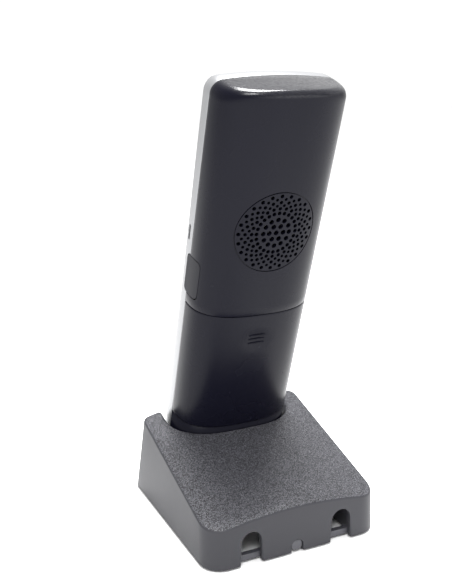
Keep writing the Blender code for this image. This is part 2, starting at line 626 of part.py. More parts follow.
def all_keys():
    """Every sprung key as (name, x, z, size, finish)."""
    keys = []
    for z, names in zip(DIGIT_ROWS, DIGIT_NAMES):
        keys += [(f"key_{name}", x, z, DIGIT_SIZE, KEY_GREY) for x, name in zip(DIGIT_COLUMNS, names)]
    keys += [("talk_key", -SIDE_KEY_X, CALL_KEY_ROW, CALL_KEY_SIZE, GREEN_KEY),
             ("end_key", SIDE_KEY_X, CALL_KEY_ROW, CALL_KEY_SIZE, RED_KEY),
             ("softkey_left", -SIDE_KEY_X, SOFT_KEY_ROW, SOFT_KEY_SIZE, KEY_GREY),
             ("softkey_right", SIDE_KEY_X, SOFT_KEY_ROW, SOFT_KEY_SIZE, KEY_GREY)]
    return keys


def make_front_cover():
    cover = handset_solid(FACE_FRONT, FACE_BACK, domed=False, columns=10, chamfer=0.8 * MM)
    cover = put("front_cover", cover, CHARCOAL, on_handset=True)
    for name, x, z, size, _ in all_keys():
        boolean(cover, face_opening(f"opening_{name}", x, z, size, KEY_CORNER))
    boolean(cover, face_opening("opening_rocker", 0, ROCKER_CENTRE, ROCKER_SIZE, ROCKER_CORNER))
    window = (2 * WINDOW_HALF_WIDTH, WINDOW_TOP - WINDOW_BOTTOM)
    boolean(cover, face_opening("opening_window", 0, (WINDOW_BOTTOM + WINDOW_TOP) / 2, window, 1.5 * MM))
    for k in (-1, 0, 1):
        slit = face_opening(f"earpiece_slit_{k}", 0, EARPIECE_CENTRE + 2.2 * MM * k, (9 * MM, 1 * MM),
                            0.2 * MM, grow=0.1 * MM)
        boolean(cover, slit)
    boolean(cover, face_opening("microphone_hole", 0, 45 * MM, (1.4 * MM, 1.4 * MM), 0.3 * MM, grow=0.0))


def key_cap(x, z, size, corner):
    cap = box((x - size[0] / 2, KEY_FACE, z - size[1] / 2), (x + size[0] / 2, KEY_BACK, z + size[1] / 2),
              corner, "Y", segments=3)
    rim = [e for e in cap.edges if all(abs(v.co.y - KEY_FACE) < 1e-6 for v in e.verts)]
    bmesh.ops.bevel(cap, geom=rim, offset=0.35 * MM, segments=1, affect="EDGES", profile=0.5)
    return cap


def make_keys():
    for name, x, z, size, finish in all_keys():
        put(name, key_cap(x, z, size, KEY_CORNER), finish, at=(x, KEY_BACK, z), on_handset=True)
    rocker = put("nav_rocker", key_cap(0, ROCKER_CENTRE, ROCKER_SIZE, ROCKER_CORNER), SILVER,
                 at=(0, KEY_BACK, ROCKER_CENTRE), on_handset=True)
    well = cylinder((0, -12 * MM, ROCKER_CENTRE), OK_RADIUS + 0.4 * MM, 10 * MM, "Y", 20)
    boolean(rocker, put("ok_well", well, on_handset=True))
    ok = [(0, 0), (OK_RADIUS - 0.3 * MM, 0), (OK_RADIUS, 0.3 * MM), (OK_RADIUS, 1.9 * MM), (0, 1.9 * MM)]
    put("ok_key", turned(ok, (0, KEY_FACE - 0.1 * MM, ROCKER_CENTRE), "Y", 20), KEY_GREY,
        at=(0, KEY_BACK, ROCKER_CENTRE), on_handset=True)


def make_face_inside():
    lens = box((-WINDOW_HALF_WIDTH, FACE_FRONT, WINDOW_BOTTOM),
               (WINDOW_HALF_WIDTH, FACE_FRONT + 0.9 * MM, WINDOW_TOP), 1.5 * MM, "Y")
    put("display_lens", lens, SMOKED_LENS, on_handset=True)
    module = box((-18.5 * MM, -5.2 * MM, 118.5 * MM), (18.5 * MM, -3.9 * MM, 157 * MM))
    put("display_module", module, PANEL_GREY, on_handset=True)
    put("keypad_mat", box((-21 * MM, -4.6 * MM, 48 * MM), (21 * MM, -3.9 * MM, 114 * MM), 3 * MM, "Y"), RUBBER,
        on_handset=True)
    put("main_board", box((-21.5 * MM, -3.6 * MM, 24 * MM), (21.5 * MM, -2.4 * MM, 160 * MM), 2 * MM, "Y"),
        BOARD_GREEN, on_handset=True)
    speaker = [(0, 0), (8 * MM, 0), (8 * MM, 1.6 * MM), (13.4 * MM, 2.4 * MM), (13.4 * MM, 3.8 * MM),
               (11.6 * MM, 3.8 * MM), (4 * MM, 2.6 * MM), (0, 2.9 * MM)]
    put("loudspeaker", turned(speaker, (0, 8.4 * MM, GRILLE_CENTRE), "Y", 24), BLACK_PLASTIC, on_handset=True)
    put("earpiece", cylinder((0, -5.2 * MM, EARPIECE_CENTRE), 6.2 * MM, 2.8 * MM, "Y", 24), STEEL, on_handset=True)
    put("microphone", cylinder((0, -5.2 * MM, 44 * MM), 2.2 * MM, 1.3 * MM, "Y", 16), STEEL, on_handset=True)
    jack = put("headset_jack", box((15.5 * MM, -2.1 * MM, 101 * MM), (22.0 * MM, 4.6 * MM, 110.5 * MM)),
               BLACK_PLASTIC, on_handset=True)
    bore = cylinder((17 * MM, 1.4 * MM, (JACK_BOTTOM + JACK_TOP) / 2), 1.3 * MM, 8 * MM, "X", 16)
    boolean(jack, put("jack_bore", bore, on_handset=True))


def make_battery():
    low = (BAY_BOTTOM + BAY_TOP - CELL_LENGTH) / 2
    body, nub = CELL_RADIUS, 1.8 * MM
    upward = [(0, 0), (body - 0.5 * MM, 0), (body, 0.5 * MM), (body, CELL_LENGTH - 1.4 * MM),
              (body - 0.5 * MM, CELL_LENGTH - 0.9 * MM), (nub, CELL_LENGTH - 0.9 * MM), (nub, CELL_LENGTH),
              (0, CELL_LENGTH)]
    downward = [(radius, CELL_LENGTH - height) for radius, height in reversed(upward)]
    centre = CELL_RADIUS + 0.3 * MM
    depth = BAY_FLOOR + GAP + CELL_RADIUS
    put("battery_cell_left", turned(upward, (-centre, depth, low), sides=20), CELL_SLEEVE, on_handset=True)
    put("battery_cell_right", turned(downward, (centre, depth, low), sides=20), CELL_SLEEVE, on_handset=True)
    link = box((-9 * MM, 4 * MM, BAY_TOP - 0.7 * MM), (9 * MM, 11 * MM, BAY_TOP - 0.3 * MM))
    put("battery_link_plate", link, STEEL, on_handset=True)
    for side, name in ((-1, "battery_contact_left"), (1, "battery_contact_right")):
        plate = box((side * centre - 3.6 * MM, 4 * MM, BAY_BOTTOM + 0.3 * MM),
                    (side * centre + 3.6 * MM, 11 * MM, BAY_BOTTOM + 0.7 * MM))
        put(name, plate, STEEL, on_handset=True)
    for side, name in ((-1, "handset_contact_left"), (1, "handset_contact_right")):
        pad = box((side * CONTACT_X - 2 * MM, CONTACT_DEPTH - 2 * MM, HANDSET_TOE - 0.05 * MM),
                  (side * CONTACT_X + 2 * MM, CONTACT_DEPTH + 2 * MM, 18.6 * MM))
        put(name, pad, GOLD, on_handset=True)
    for i, (x, z) in enumerate(HANDSET_SCREW_SPOTS):
        length = 7.2 * MM
        bm = turned([(0, 0), (0.8 * MM, 0), (0.8 * MM, length), (2 * MM, length), (2 * MM, length + 0.7 * MM),
                     (1.6 * MM, length + 1 * MM), (0, length + 1 * MM)], (x, 2.4 * MM, z), "Y", 12)
        put(f"handset_screw_{i + 1}", bm, STEEL, on_handset=True)


make_base_shell()
make_bottom_cover()
make_base_inside()
make_rear_cover()
make_band()
make_battery_door()
make_jack_cover()
make_front_cover()
make_keys()
make_face_inside()
make_battery()
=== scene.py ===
# %% [markdown]
# # A cordless phone in its charging base
# The frame holds every piece at its real size and place, grouped in the bodies that move.
# This script gives the frame its looks: a camera, soft light, and for each visible casing a
# finer mesh than the frame's, with the plastics worked out in shader nodes.

# %% Load the frame
import json
import math

import bmesh
import bpy
from mathutils import Matrix, Vector


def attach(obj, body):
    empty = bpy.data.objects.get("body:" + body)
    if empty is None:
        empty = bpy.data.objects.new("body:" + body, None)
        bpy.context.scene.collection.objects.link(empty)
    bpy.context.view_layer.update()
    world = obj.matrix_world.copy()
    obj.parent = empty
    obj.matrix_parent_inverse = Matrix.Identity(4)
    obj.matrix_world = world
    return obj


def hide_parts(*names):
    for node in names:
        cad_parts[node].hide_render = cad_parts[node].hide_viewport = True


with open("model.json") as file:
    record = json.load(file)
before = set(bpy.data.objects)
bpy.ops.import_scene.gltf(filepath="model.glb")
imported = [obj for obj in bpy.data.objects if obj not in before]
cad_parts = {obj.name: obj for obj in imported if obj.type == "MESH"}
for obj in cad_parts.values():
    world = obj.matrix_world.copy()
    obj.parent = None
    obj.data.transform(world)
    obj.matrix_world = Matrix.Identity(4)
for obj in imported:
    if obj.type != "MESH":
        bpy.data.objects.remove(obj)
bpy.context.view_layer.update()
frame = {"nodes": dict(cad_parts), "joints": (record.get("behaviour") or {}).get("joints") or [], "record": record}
MM = 0.001

# %% [markdown]
# ## Two sets of axes
# The base stands square to the world, but the handset leans back in its cradle.  Its pieces
# are far easier to draw upright: x across, y out of its back, z along its length.  The lift
# joint's axis gives the lean, and one matrix carries a finished mesh into place.

# %% The handset's axes
lift_axis = Vector(next(j["axis"] for j in frame["joints"] if j["name"] == "handset_lift"))
LEAN = math.atan2(lift_axis.y, lift_axis.z)
FOOT_LIFT = 1.0 * MM
HANDSET_ORIGIN = Vector((0, -34.08 * MM, FOOT_LIFT))
HANDSET = Matrix.Translation(HANDSET_ORIGIN) @ Matrix.Rotation(-LEAN, 4, "X")
UPRIGHT = Matrix.Identity(4)
print("the handset leans back", round(math.degrees(LEAN), 2), "degrees")

# %% [markdown]
# ## Camera and light
# The camera stands behind the base, a little above it, so that the back of the handset and
# the sloping deck both show.  A pale floor and a large pale surround light dark plastic
# gently; two soft panels draw the bright line along the handset's top edge and lift the rim.

# %% Camera
scene = bpy.context.scene
AZIMUTH, ELEVATION, ROLL = (math.radians(v) for v in (154.9902, 14.7757, -0.4505))
CAMERA_SPOT = Vector((143.803, 286.876, 176.399)) * MM
FOCAL_LENGTH, SENSOR_WIDTH, NEAREST = 52.70, 36, 0.01
backward = Vector((math.sin(AZIMUTH) * math.cos(ELEVATION), -math.cos(AZIMUTH) * math.cos(ELEVATION),
                   math.sin(ELEVATION)))
camera_data = bpy.data.cameras.new("camera")
camera_data.lens = FOCAL_LENGTH
camera_data.sensor_width = SENSOR_WIDTH
camera_data.clip_start = NEAREST
camera = bpy.data.objects.new("camera", camera_data)
camera.matrix_world = (Matrix.Translation(CAMERA_SPOT) @ backward.to_track_quat("Z", "Y").to_matrix().to_4x4()
                       @ Matrix.Rotation(ROLL, 4, "Z"))
scene.collection.objects.link(camera)
scene.camera = camera
print("camera at", [round(v, 3) for v in CAMERA_SPOT])

# %% Surround and floor
SURROUND_STRENGTH, FLOOR_SIZE, FLOOR_PALE, FLOOR_ROUGHNESS = 1.06, 3, 0.97, 0.9
scene.view_settings.view_transform = "Standard"
world = bpy.data.worlds.new("studio")
scene.world = world
world.use_nodes = True
surround = world.node_tree.nodes["Background"]
surround.inputs["Color"].default_value = (1, 1, 1, 1)
surround.inputs["Strength"].default_value = SURROUND_STRENGTH

floor_mesh = bmesh.new()
bmesh.ops.create_grid(floor_mesh, x_segments=1, y_segments=1, size=FLOOR_SIZE)
floor_data = bpy.data.meshes.new("floor")
floor_mesh.to_mesh(floor_data)
floor_mesh.free()
floor = bpy.data.objects.new("floor", floor_data)
scene.collection.objects.link(floor)
paper = bpy.data.materials.new("pale_floor")
paper.use_nodes = True
paper_shader = paper.node_tree.nodes["Principled BSDF"]
paper_shader.inputs["Base Color"].default_value = (FLOOR_PALE, FLOOR_PALE, FLOOR_PALE, 1)
paper_shader.inputs["Roughness"].default_value = FLOOR_ROUGHNESS
floor_data.materials.append(paper)
print("floor", FLOOR_SIZE * 2, "m across")


# %% Soft panels
LIT_SPOT = Vector((0, 0, 90 * MM))


def soft_panel(name, towards, distance, width, depth, power):
    """A glowing rectangle that stands towards a direction and faces the phone."""
    data = bpy.data.lights.new(name, "AREA")
    data.shape = "RECTANGLE"
    data.size = width
    data.size_y = depth
    data.energy = power
    panel = bpy.data.objects.new(name, data)
    direction = Vector(towards).normalized()
    panel.location = LIT_SPOT + direction * distance
    panel.rotation_euler = direction.to_track_quat("Z", "Y").to_euler()
    scene.collection.objects.link(panel)


soft_panel("edge_panel", (-0.11, -0.10, 0.95), 0.9, 0.36, 0.44, 23.0)
soft_panel("rear_panel", (0.30, 0.62, 0.72), 0.9, 0.30, 0.30, 7.0)
soft_panel("right_panel", (-0.95, 0.30, 0.20), 0.8, 0.40, 0.40, 0.4)
print("lights:", [light.name for light in bpy.data.lights])

# %% [markdown]
# ## Moulded plastic
# Casings are sprayed or spark-eroded plastic: a fine pebbled grain that glitters where light
# grazes it, and a faint unevenness of tone.  Every plastic here shares one grain group, and
# each material sets its own size, depth and mottle.  Bump is fed only from that group's height.

# %% Helpers for nodes
def maths(tree, operation, first, second):
    """A Math node; each value is a number or another node's output."""
    node = tree.nodes.new("ShaderNodeMath")
    node.operation = operation
    for socket, value in zip(node.inputs, (first, second)):
        if isinstance(value, (int, float)):
            socket.default_value = value
        else:
            tree.links.new(value, socket)
    return node.outputs[0]


def new_group(name, inputs, outputs):
    tree = bpy.data.node_groups.new(name, "ShaderNodeTree")
    for name, default in inputs:
        socket = tree.interface.new_socket(name, in_out="INPUT", socket_type="NodeSocketFloat")
        socket.default_value = default
    for name in outputs:
        tree.interface.new_socket(name, in_out="OUTPUT", socket_type="NodeSocketFloat")
    return tree, tree.nodes.new("NodeGroupInput"), tree.nodes.new("NodeGroupOutput")


def ramp(tree, value, low, high, to_low=0.0, to_high=1.0):
    """A smooth step from one number to another while the value goes from low to high."""
    node = tree.nodes.new("ShaderNodeMapRange")
    node.interpolation_type = "SMOOTHSTEP"
    limits = zip(("From Min", "From Max", "To Min", "To Max"), (low, high, to_low, to_high))
    for socket, number in limits:
        node.inputs[socket].default_value = number
    tree.links.new(value, node.inputs["Value"])
    return node.outputs["Result"]


print("node helpers: maths, new_group, ramp")

# %% Node group: moulded grain
BROAD_SCALE, BROAD_DETAIL, FINE_DETAIL = 55, 3, 2
grain, grain_in, grain_out = new_group(
    "moulded_grain", [("Grains per metre", 1500.0), ("Mottle", 0.1)], ["Height", "Tone", "Speckle"])
where = grain.nodes.new("ShaderNodeTexCoord")
pebbles = grain.nodes.new("ShaderNodeTexVoronoi")
fine = grain.nodes.new("ShaderNodeTexNoise")
fine.inputs["Detail"].default_value = FINE_DETAIL
broad = grain.nodes.new("ShaderNodeTexNoise")
broad.inputs["Scale"].default_value = BROAD_SCALE
broad.inputs["Detail"].default_value = BROAD_DETAIL
for texture in (pebbles, fine, broad):
    grain.links.new(where.outputs["Object"], texture.inputs["Vector"])
for texture in (pebbles, fine):
    grain.links.new(grain_in.outputs["Grains per metre"], texture.inputs["Scale"])
height = maths(grain, "ADD", pebbles.outputs["Distance"], fine.outputs["Fac"])
grain.links.new(height, grain_out.inputs["Height"])
uneven = maths(grain, "SUBTRACT", broad.outputs["Fac"], 0.5)
swing = maths(grain, "MULTIPLY", uneven, grain_in.outputs["Mottle"])
each = grain.nodes.new("ShaderNodeSeparateColor")
grain.links.new(pebbles.outputs["Color"], each.inputs["Color"])
grain.links.new(maths(grain, "ADD", swing, 1.0), grain_out.inputs["Tone"])
grain.links.new(maths(grain, "SUBTRACT", each.outputs["Red"], 0.5), grain_out.inputs["Speckle"])
print("grain group sockets:", [item.name for item in grain.interface.items_tree])


# %% A plastic from the grain group
BUMP_DISTANCE = 0.1 * MM


def plastic(name, colour, roughness, per_metre=1500, bump=0.1, mottle=0.2, metallic=0.0, specular=0.5,
            coat=0.0):
    """A moulded, plated or printed finish whose colour and roughness follow the grain's tone."""
    material = bpy.data.materials.new(name)
    material.use_nodes = True
    tree = material.node_tree
    shader = tree.nodes["Principled BSDF"]
    shader.inputs["Metallic"].default_value = metallic
    shader.inputs["Specular IOR Level"].default_value = specular
    shader.inputs["Coat Weight"].default_value = coat
    texture = tree.nodes.new("ShaderNodeGroup")
    texture.name = "grain"
    texture.node_tree = grain
    texture.inputs["Grains per metre"].default_value = per_metre
    texture.inputs["Mottle"].default_value = mottle
    tint = tree.nodes.new("ShaderNodeVectorMath")
    tint.operation = "SCALE"
    tint.inputs[0].default_value = colour
    tree.links.new(texture.outputs["Tone"], tint.inputs["Scale"])
    tree.links.new(tint.outputs[0], shader.inputs["Base Color"])
    tree.links.new(maths(tree, "MULTIPLY", texture.outputs["Tone"], roughness), shader.inputs["Roughness"])
    relief = tree.nodes.new("ShaderNodeBump")
    relief.name = "relief"
    relief.inputs["Strength"].default_value = bump
    relief.inputs["Distance"].default_value = BUMP_DISTANCE
    tree.links.new(texture.outputs["Height"], relief.inputs["Height"])
    tree.links.new(relief.outputs["Normal"], shader.inputs["Normal"])
    return material


# %% The finishes
CHARCOAL_ROUGHNESS = 0.27
finishes = {
    "charcoal": plastic("charcoal_casing", (0.0030, 0.0030, 0.0065), CHARCOAL_ROUGHNESS, 3000, bump=0.5,
                        specular=0.09),
    "base_under": plastic("base_underside", (0.040, 0.040, 0.048), 0.5, 2200, bump=0.2),
    "base_grey": plastic("base_grained_plastic", (0.037, 0.037, 0.043), 0.48, 4500, bump=1.0, specular=0.20),
    "black_plastic": plastic("black_moulding", (0.018, 0.018, 0.020), 0.5, 1800, bump=0.3),
    "silver": plastic("silver_paint", (0.24, 0.243, 0.25), 0.36, 3200, bump=0.1, metallic=0.6,
                      mottle=0.05),
    "rubber": plastic("soft_rubber", (0.008, 0.008, 0.011), 0.55, 2600, bump=0.15, specular=0.15),
    "key_grey": plastic("key_cap_grey", (0.075, 0.075, 0.082), 0.45, 2200, bump=0.15),
    "green_key": plastic("talk_key_green", (0.045, 0.26, 0.08), 0.42, 2200, bump=0.15),
    "red_key": plastic("end_key_red", (0.42, 0.035, 0.035), 0.42, 2200, bump=0.15),
    "board_green": plastic("solder_resist", (0.02, 0.14, 0.055), 0.35, 400, bump=0.2, mottle=0.4),
    "steel": plastic("nickel_plate", (0.58, 0.57, 0.55), 0.28, 900, bump=0.05, metallic=1.0),
    "gold": plastic("gold_plate", (0.85, 0.60, 0.25), 0.22, 900, bump=0.05, metallic=1.0),
    "smoked_lens": plastic("smoked_window", (0.012, 0.014, 0.016), 0.06, 500, bump=0.0, coat=0.4),
    "cell_sleeve": plastic("cell_sleeve", (0.06, 0.20, 0.38), 0.3, 700, bump=0.05),
    "legend_white": plastic("printed_white", (0.75, 0.75, 0.76), 0.5, 900, bump=0.02),
    "panel_grey": plastic("display_panel", (0.30, 0.34, 0.29), 0.3, 700, bump=0.05),
}
print("finishes:", ", ".join(finishes))

# %% [markdown]
# ## Where a finish changes
# Two mouldings are not the same all over.  The base's mould was spark-eroded only under its
# deck, so the deck glitters and the walls stay plain; the surface's own direction tells them
# apart.  The same direction paints the walls darker than the deck, as painted shade, and adds
# specks to the deck's colour that are partly random tone and partly painted glints.  The
# handset's top end is coarser than its back; its place along the handset does.

# %% The grained deck
DECK_FROM, DECK_TO = 0.60, 0.90          # how far up a face looks, from wall to deck
DECK_SPECKLE_AND_GLINT, WALL_PAINTED_SHADE, WALL_RELIEF, GLINT_ROUGHNESS = 2.1, 0.74, 0.15, 0.36
deck_plastic = finishes["base_grey"].node_tree
deck_shader = deck_plastic.nodes["Principled BSDF"]
deck_grain = deck_plastic.nodes["grain"].outputs
facing = deck_plastic.nodes.new("ShaderNodeTexCoord")
facing_parts = deck_plastic.nodes.new("ShaderNodeSeparateXYZ")
deck_plastic.links.new(facing.outputs["Normal"], facing_parts.inputs["Vector"])
on_deck = ramp(deck_plastic, facing_parts.outputs["Z"], DECK_FROM, DECK_TO)

deck_relief = ramp(deck_plastic, on_deck, 0, 1, WALL_RELIEF, 1.0)
deck_height = maths(deck_plastic, "MULTIPLY", deck_grain["Height"], deck_relief)
deck_plastic.links.new(deck_height, deck_plastic.nodes["relief"].inputs["Height"])
# Specks in the deck's colour: partly random tone of the grain, partly painted glints.
speckle_and_painted_glints = maths(deck_plastic, "MULTIPLY", deck_grain["Speckle"], on_deck)
speckle_and_painted_glints = maths(deck_plastic, "MULTIPLY", speckle_and_painted_glints, DECK_SPECKLE_AND_GLINT)
# The walls' colour is darkened against the deck's by the way a face looks: painted shade on faces that turn away
# from the overhead light.
deck_tone_and_wall_shade = maths(deck_plastic, "MULTIPLY", deck_grain["Tone"],
                  ramp(deck_plastic, on_deck, 0, 1, WALL_PAINTED_SHADE, 1.0))
deck_tint = deck_shader.inputs["Base Color"].links[0].from_node
deck_plastic.links.new(maths(deck_plastic, "ADD", deck_tone_and_wall_shade, speckle_and_painted_glints), deck_tint.inputs["Scale"])
glints = maths(deck_plastic, "MULTIPLY", ramp(deck_plastic, deck_grain["Speckle"], 0.05, 0.45), on_deck)
deck_plastic.links.new(glints, deck_shader.inputs["Coat Weight"])
deck_shader.inputs["Coat Roughness"].default_value = GLINT_ROUGHNESS
print("the deck's grain fades out between", DECK_TO, "and", DECK_FROM)

# %% The handset's top end
END_FROM, END_TO = 178.6 * MM, 181.0 * MM
BACK_RELIEF, END_ROUGHNESS, SHEEN_ROUGHNESS = 0.22, 0.24, 0.20
casing = finishes["charcoal"].node_tree
casing_shader = casing.nodes["Principled BSDF"]
casing_grain = casing.nodes["grain"].outputs
spot = casing.nodes.new("ShaderNodeTexCoord")
along = casing.nodes.new("ShaderNodeVectorMath")
along.operation = "DOT_PRODUCT"
along.inputs[1].default_value = lift_axis
casing.links.new(spot.outputs["Object"], along.inputs[0])
foot_at = HANDSET_ORIGIN.dot(lift_axis)
near_end = ramp(casing, along.outputs["Value"], foot_at + END_FROM, foot_at + END_TO)

end_height = maths(casing, "MULTIPLY", casing_grain["Height"], ramp(casing, near_end, 0, 1, BACK_RELIEF, 1.0))
casing.links.new(end_height, casing.nodes["relief"].inputs["Height"])
end_roughness = maths(casing, "MULTIPLY", casing_grain["Tone"],
                      ramp(casing, near_end, 0, 1, CHARCOAL_ROUGHNESS, END_ROUGHNESS))
casing.links.new(end_roughness, casing_shader.inputs["Roughness"])
sheen = maths(casing, "MULTIPLY", near_end, ramp(casing, casing_grain["Speckle"], -0.45, 0.30, 0.45, 1.0))
casing.links.new(sheen, casing_shader.inputs["Coat Weight"])
casing_shader.inputs["Coat Roughness"].default_value = SHEEN_ROUGHNESS
print("the top end's grain starts", round(END_FROM / MM, 1), "mm along the handset")

# %% Finish the frame's own pieces
OWN_FINISH = {"base_bottom_cover": "base_under", "earpiece": "black_plastic"}
for part in frame["record"]["subparts"]:
    node = frame["nodes"][part["node"]]
    node.data.materials.clear()
    node.data.materials.append(finishes[OWN_FINISH.get(part["node"], part["material_slot"])])
print(len(finishes), "finishes on", len(frame["nodes"]), "pieces")

# %% [markdown]
# ## From a shape to a piece
# A piece is drawn in its own axes, carried to its place in its mesh, given a finish, and set to
# ride on a body.  Openings are carved with exact Booleans, which are baked at once so that the
# cutters can be thrown away, and a narrow bevel breaks the moulded edges.

# %% Objects and carving
def loose_object(name, bm, matrix):
    """Moves a bmesh to its place and makes it an object there."""
    bmesh.ops.transform(bm, matrix=matrix, verts=bm.verts)
    mesh = bpy.data.meshes.new(name)
    bm.to_mesh(mesh)
    bm.free()
    made = bpy.data.objects.new(name, mesh)
    scene.collection.objects.link(made)
    return made


def bake(piece):
    """Turns the piece's modifiers into mesh."""
    evaluated = piece.evaluated_get(bpy.context.evaluated_depsgraph_get())
    shape = bpy.data.meshes.new_from_object(evaluated)
    piece.modifiers.clear()
    piece.data = shape


def carve(piece, cutter, matrix, operation="DIFFERENCE"):
    """Cuts, joins or intersects a piece with a bmesh, and throws the bmesh away."""
    bmesh.ops.recalc_face_normals(cutter, faces=cutter.faces)
    tool = loose_object("cutter", cutter, matrix)
    modifier = piece.modifiers.new("carve", "BOOLEAN")
    modifier.object = tool
    modifier.operation = operation
    modifier.solver = "EXACT"
    bake(piece)
    bpy.data.objects.remove(tool)


print("helpers: loose_object, bake, carve")

# %% Walls and edges
BEVEL_ANGLE = 38                         # degrees


def thicken(piece, wall):
    """Gives a skin its wall, on the inside."""
    modifier = piece.modifiers.new("wall", "SOLIDIFY")
    modifier.thickness = wall
    modifier.offset = -1
    bake(piece)


def break_edges(piece, width, segments=2):
    """Rounds every sharp edge a little."""
    modifier = piece.modifiers.new("edges", "BEVEL")
    modifier.width = width
    modifier.segments = segments
    modifier.limit_method = "ANGLE"
    modifier.angle_limit = math.radians(BEVEL_ANGLE)
    modifier.use_clamp_overlap = True
    modifier.harden_normals = False
    bake(piece)


def face_outwards(bm):
    """Turns an open skin's faces away from the middle."""
    bmesh.ops.recalc_face_normals(bm, faces=bm.faces)
    if sum(face.normal.x * face.calc_center_median().x for face in bm.faces) < 0:
        bmesh.ops.reverse_faces(bm, faces=bm.faces)


def pulled_out(bm, edges):
    """Extrudes edges where they are, and gives back the new edges and points."""
    grown = bmesh.ops.extrude_edge_only(bm, edges=edges)["geom"]
    return ([item for item in grown if isinstance(item, bmesh.types.BMEdge)],
            [item for item in grown if isinstance(item, bmesh.types.BMVert)])


print("edges sharper than", BEVEL_ANGLE, "degrees are broken")

# %% Finish and body
SMOOTH_ANGLE = 32                        # degrees


def install(piece, finish, body, *replaced, smooth_angle=SMOOTH_ANGLE, flat_faced=False):
    """Gives a piece its finish and its body, and hides the frame's pieces that it stands for."""
    piece.data.materials.clear()
    piece.data.materials.append(finishes[finish])
    piece.data.shade_smooth()
    piece.data.set_sharp_from_angle(angle=math.radians(smooth_angle))
    if flat_faced:
        weighted = piece.modifiers.new("weighted", "WEIGHTED_NORMAL")
        weighted.keep_sharp = True
        bake(piece)
    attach(piece, body)
    if replaced:
        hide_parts(*replaced)
    print(f"{piece.name}: {len(piece.data.polygons)} faces")
    return piece


# %% Boxes and rods
def rounded_box(low, high, corner=0.0, along="Y", segments=5):
    """A box between two corners, with the four edges along one axis rounded."""
    low, high = Vector(low), Vector(high)
    size = high - low
    bm = bmesh.new()
    bmesh.ops.create_cube(bm, size=1)
    bmesh.ops.scale(bm, verts=bm.verts, vec=size)
    bmesh.ops.translate(bm, verts=bm.verts, vec=(low + high) / 2)
    if corner:
        axis = "XYZ".index(along)
        edges = [e for e in bm.edges if abs((e.verts[0].co - e.verts[1].co)[axis]) > size[axis] * 0.9]
        bmesh.ops.bevel(bm, geom=edges, offset=corner, segments=segments, affect="EDGES", profile=0.5,
                        material=-1)
    return bm


def soften_front(bm, width, segments):
    """Bevels the rim of the faces that stand furthest forward."""
    level = min(vert.co.y for vert in bm.verts) + 0.001 * MM
    front = [face for face in bm.faces if all(vert.co.y < level for vert in face.verts)]
    edges = [e for e in bm.edges if any(face in front for face in e.link_faces)]
    bmesh.ops.bevel(bm, geom=edges, offset=width, segments=segments, affect="EDGES", profile=0.5,
                    material=-1)


def rod(bm, spot, radius, length, along="Y", sides=12):
    """Adds a cylinder that starts at `spot`."""
    turn = {"X": Matrix.Rotation(math.pi / 2, 4, "Y"), "Y": Matrix.Rotation(-math.pi / 2, 4, "X"),
            "Z": Matrix.Identity(4)}[along]
    matrix = Matrix.Translation(spot) @ turn @ Matrix.Translation((0, 0, length / 2))
    bmesh.ops.create_cone(bm, cap_ends=True, segments=sides, radius1=radius, radius2=radius, depth=length,
                          matrix=matrix)


print("shape helpers: rounded_box, soften_front, rod")

# %% [markdown]
# ## The handset's skin
# Across, the back is a superellipse: nearly flat in the middle, round at the sides, and square
# on to the parting line.  Along, both ends are rounded, and the top end is slightly crowned.
# One function gives any point of that skin, and a flat grid is wrapped over it.

# %% The skin's sizes
HALF_WIDTH, BULGE, ROUNDNESS = 25.0 * MM, 16.44 * MM, 2.72
TOE, TOP = 16.5 * MM, 181.5 * MM
TOE_CORNER, TOP_CORNER, END_ROUNDING = 7.0 * MM, 4.6 * MM, 2.0 * MM
TOP_CROWN, CROWN_RUN = 1.66 * MM, 20 * MM
SEAM = 0.15 * MM
GAP = 0.3 * MM
SHELL_WALL = 2.0 * MM
END_STEPS = [v * MM for v in (0, 0.04, 0.15, 0.35, 0.62, 1.0, 1.45, 2.0, 2.7, 3.6, 4.6, 5.8, 7.0)]
print("handset", round(2 * HALF_WIDTH / MM), "by", round((TOP - TOE) / MM), "mm")

# %% One point of the skin

def superpower(value):
    return math.copysign(abs(value) ** (2 / ROUNDNESS), value)


def drawn(distance, radius):
    """How far a rounded end of that radius has drawn in, at a distance from the end."""
    if distance >= radius:
        return 0.0
    return radius - math.sqrt(max(radius ** 2 - (radius - distance) ** 2, 0.0))


def crowned(x, z):
    return z - TOP_CROWN * max(0.0, 1 - (TOP - z) / CROWN_RUN) * (x / HALF_WIDTH) ** 2


def skin(angle, z):
    half = HALF_WIDTH - max(drawn(z - TOE, TOE_CORNER), drawn(TOP - z, TOP_CORNER))
    rise = BULGE - SEAM - max(drawn(z - TOE, END_ROUNDING), drawn(TOP - z, END_ROUNDING))
    x = half * superpower(math.cos(angle))
    return Vector((x, SEAM + rise * superpower(math.sin(angle)), crowned(x, z)))


def dome(x):
    """Height of the back over a point across it."""
    return SEAM + (BULGE - SEAM) * (1 - (abs(x) / HALF_WIDTH) ** ROUNDNESS) ** (1 / ROUNDNESS)


sample = skin(math.pi / 2, 100 * MM)
print("middle of the back:", [round(v / MM, 2) for v in sample], "mm")

# %% A grid wrapped over it
def evenly(low, high, step=3.0 * MM):
    count = max(1, round((high - low) / step))
    return [low + (high - low) * k / count for k in range(count + 1)]


def wrapped(stations, columns=80):
    """A grid wrapped over the back, with a row at each station along it."""
    bm = bmesh.new()
    rows = len(stations) - 1
    bmesh.ops.create_grid(bm, x_segments=columns, y_segments=rows, size=0.5)
    for vert in bm.verts:
        vert.co = skin(math.pi * (0.5 - vert.co.x), stations[round((vert.co.y + 0.5) * rows)])
    return bm


print("rows over 30 mm:", len(evenly(0, 30 * MM)))

# %% [markdown]
# ## Rear cover
# One moulding carries the loudspeaker grille, the battery bay and the toe.  Its long upper part
# shows, so that is wrapped anew with a closed top end, given a wall, and pierced: a ring groove
# and 163 round holes on concentric rings.  The bay and toe stay as the frame has them, on a
# copy that is cut off at the parting line.

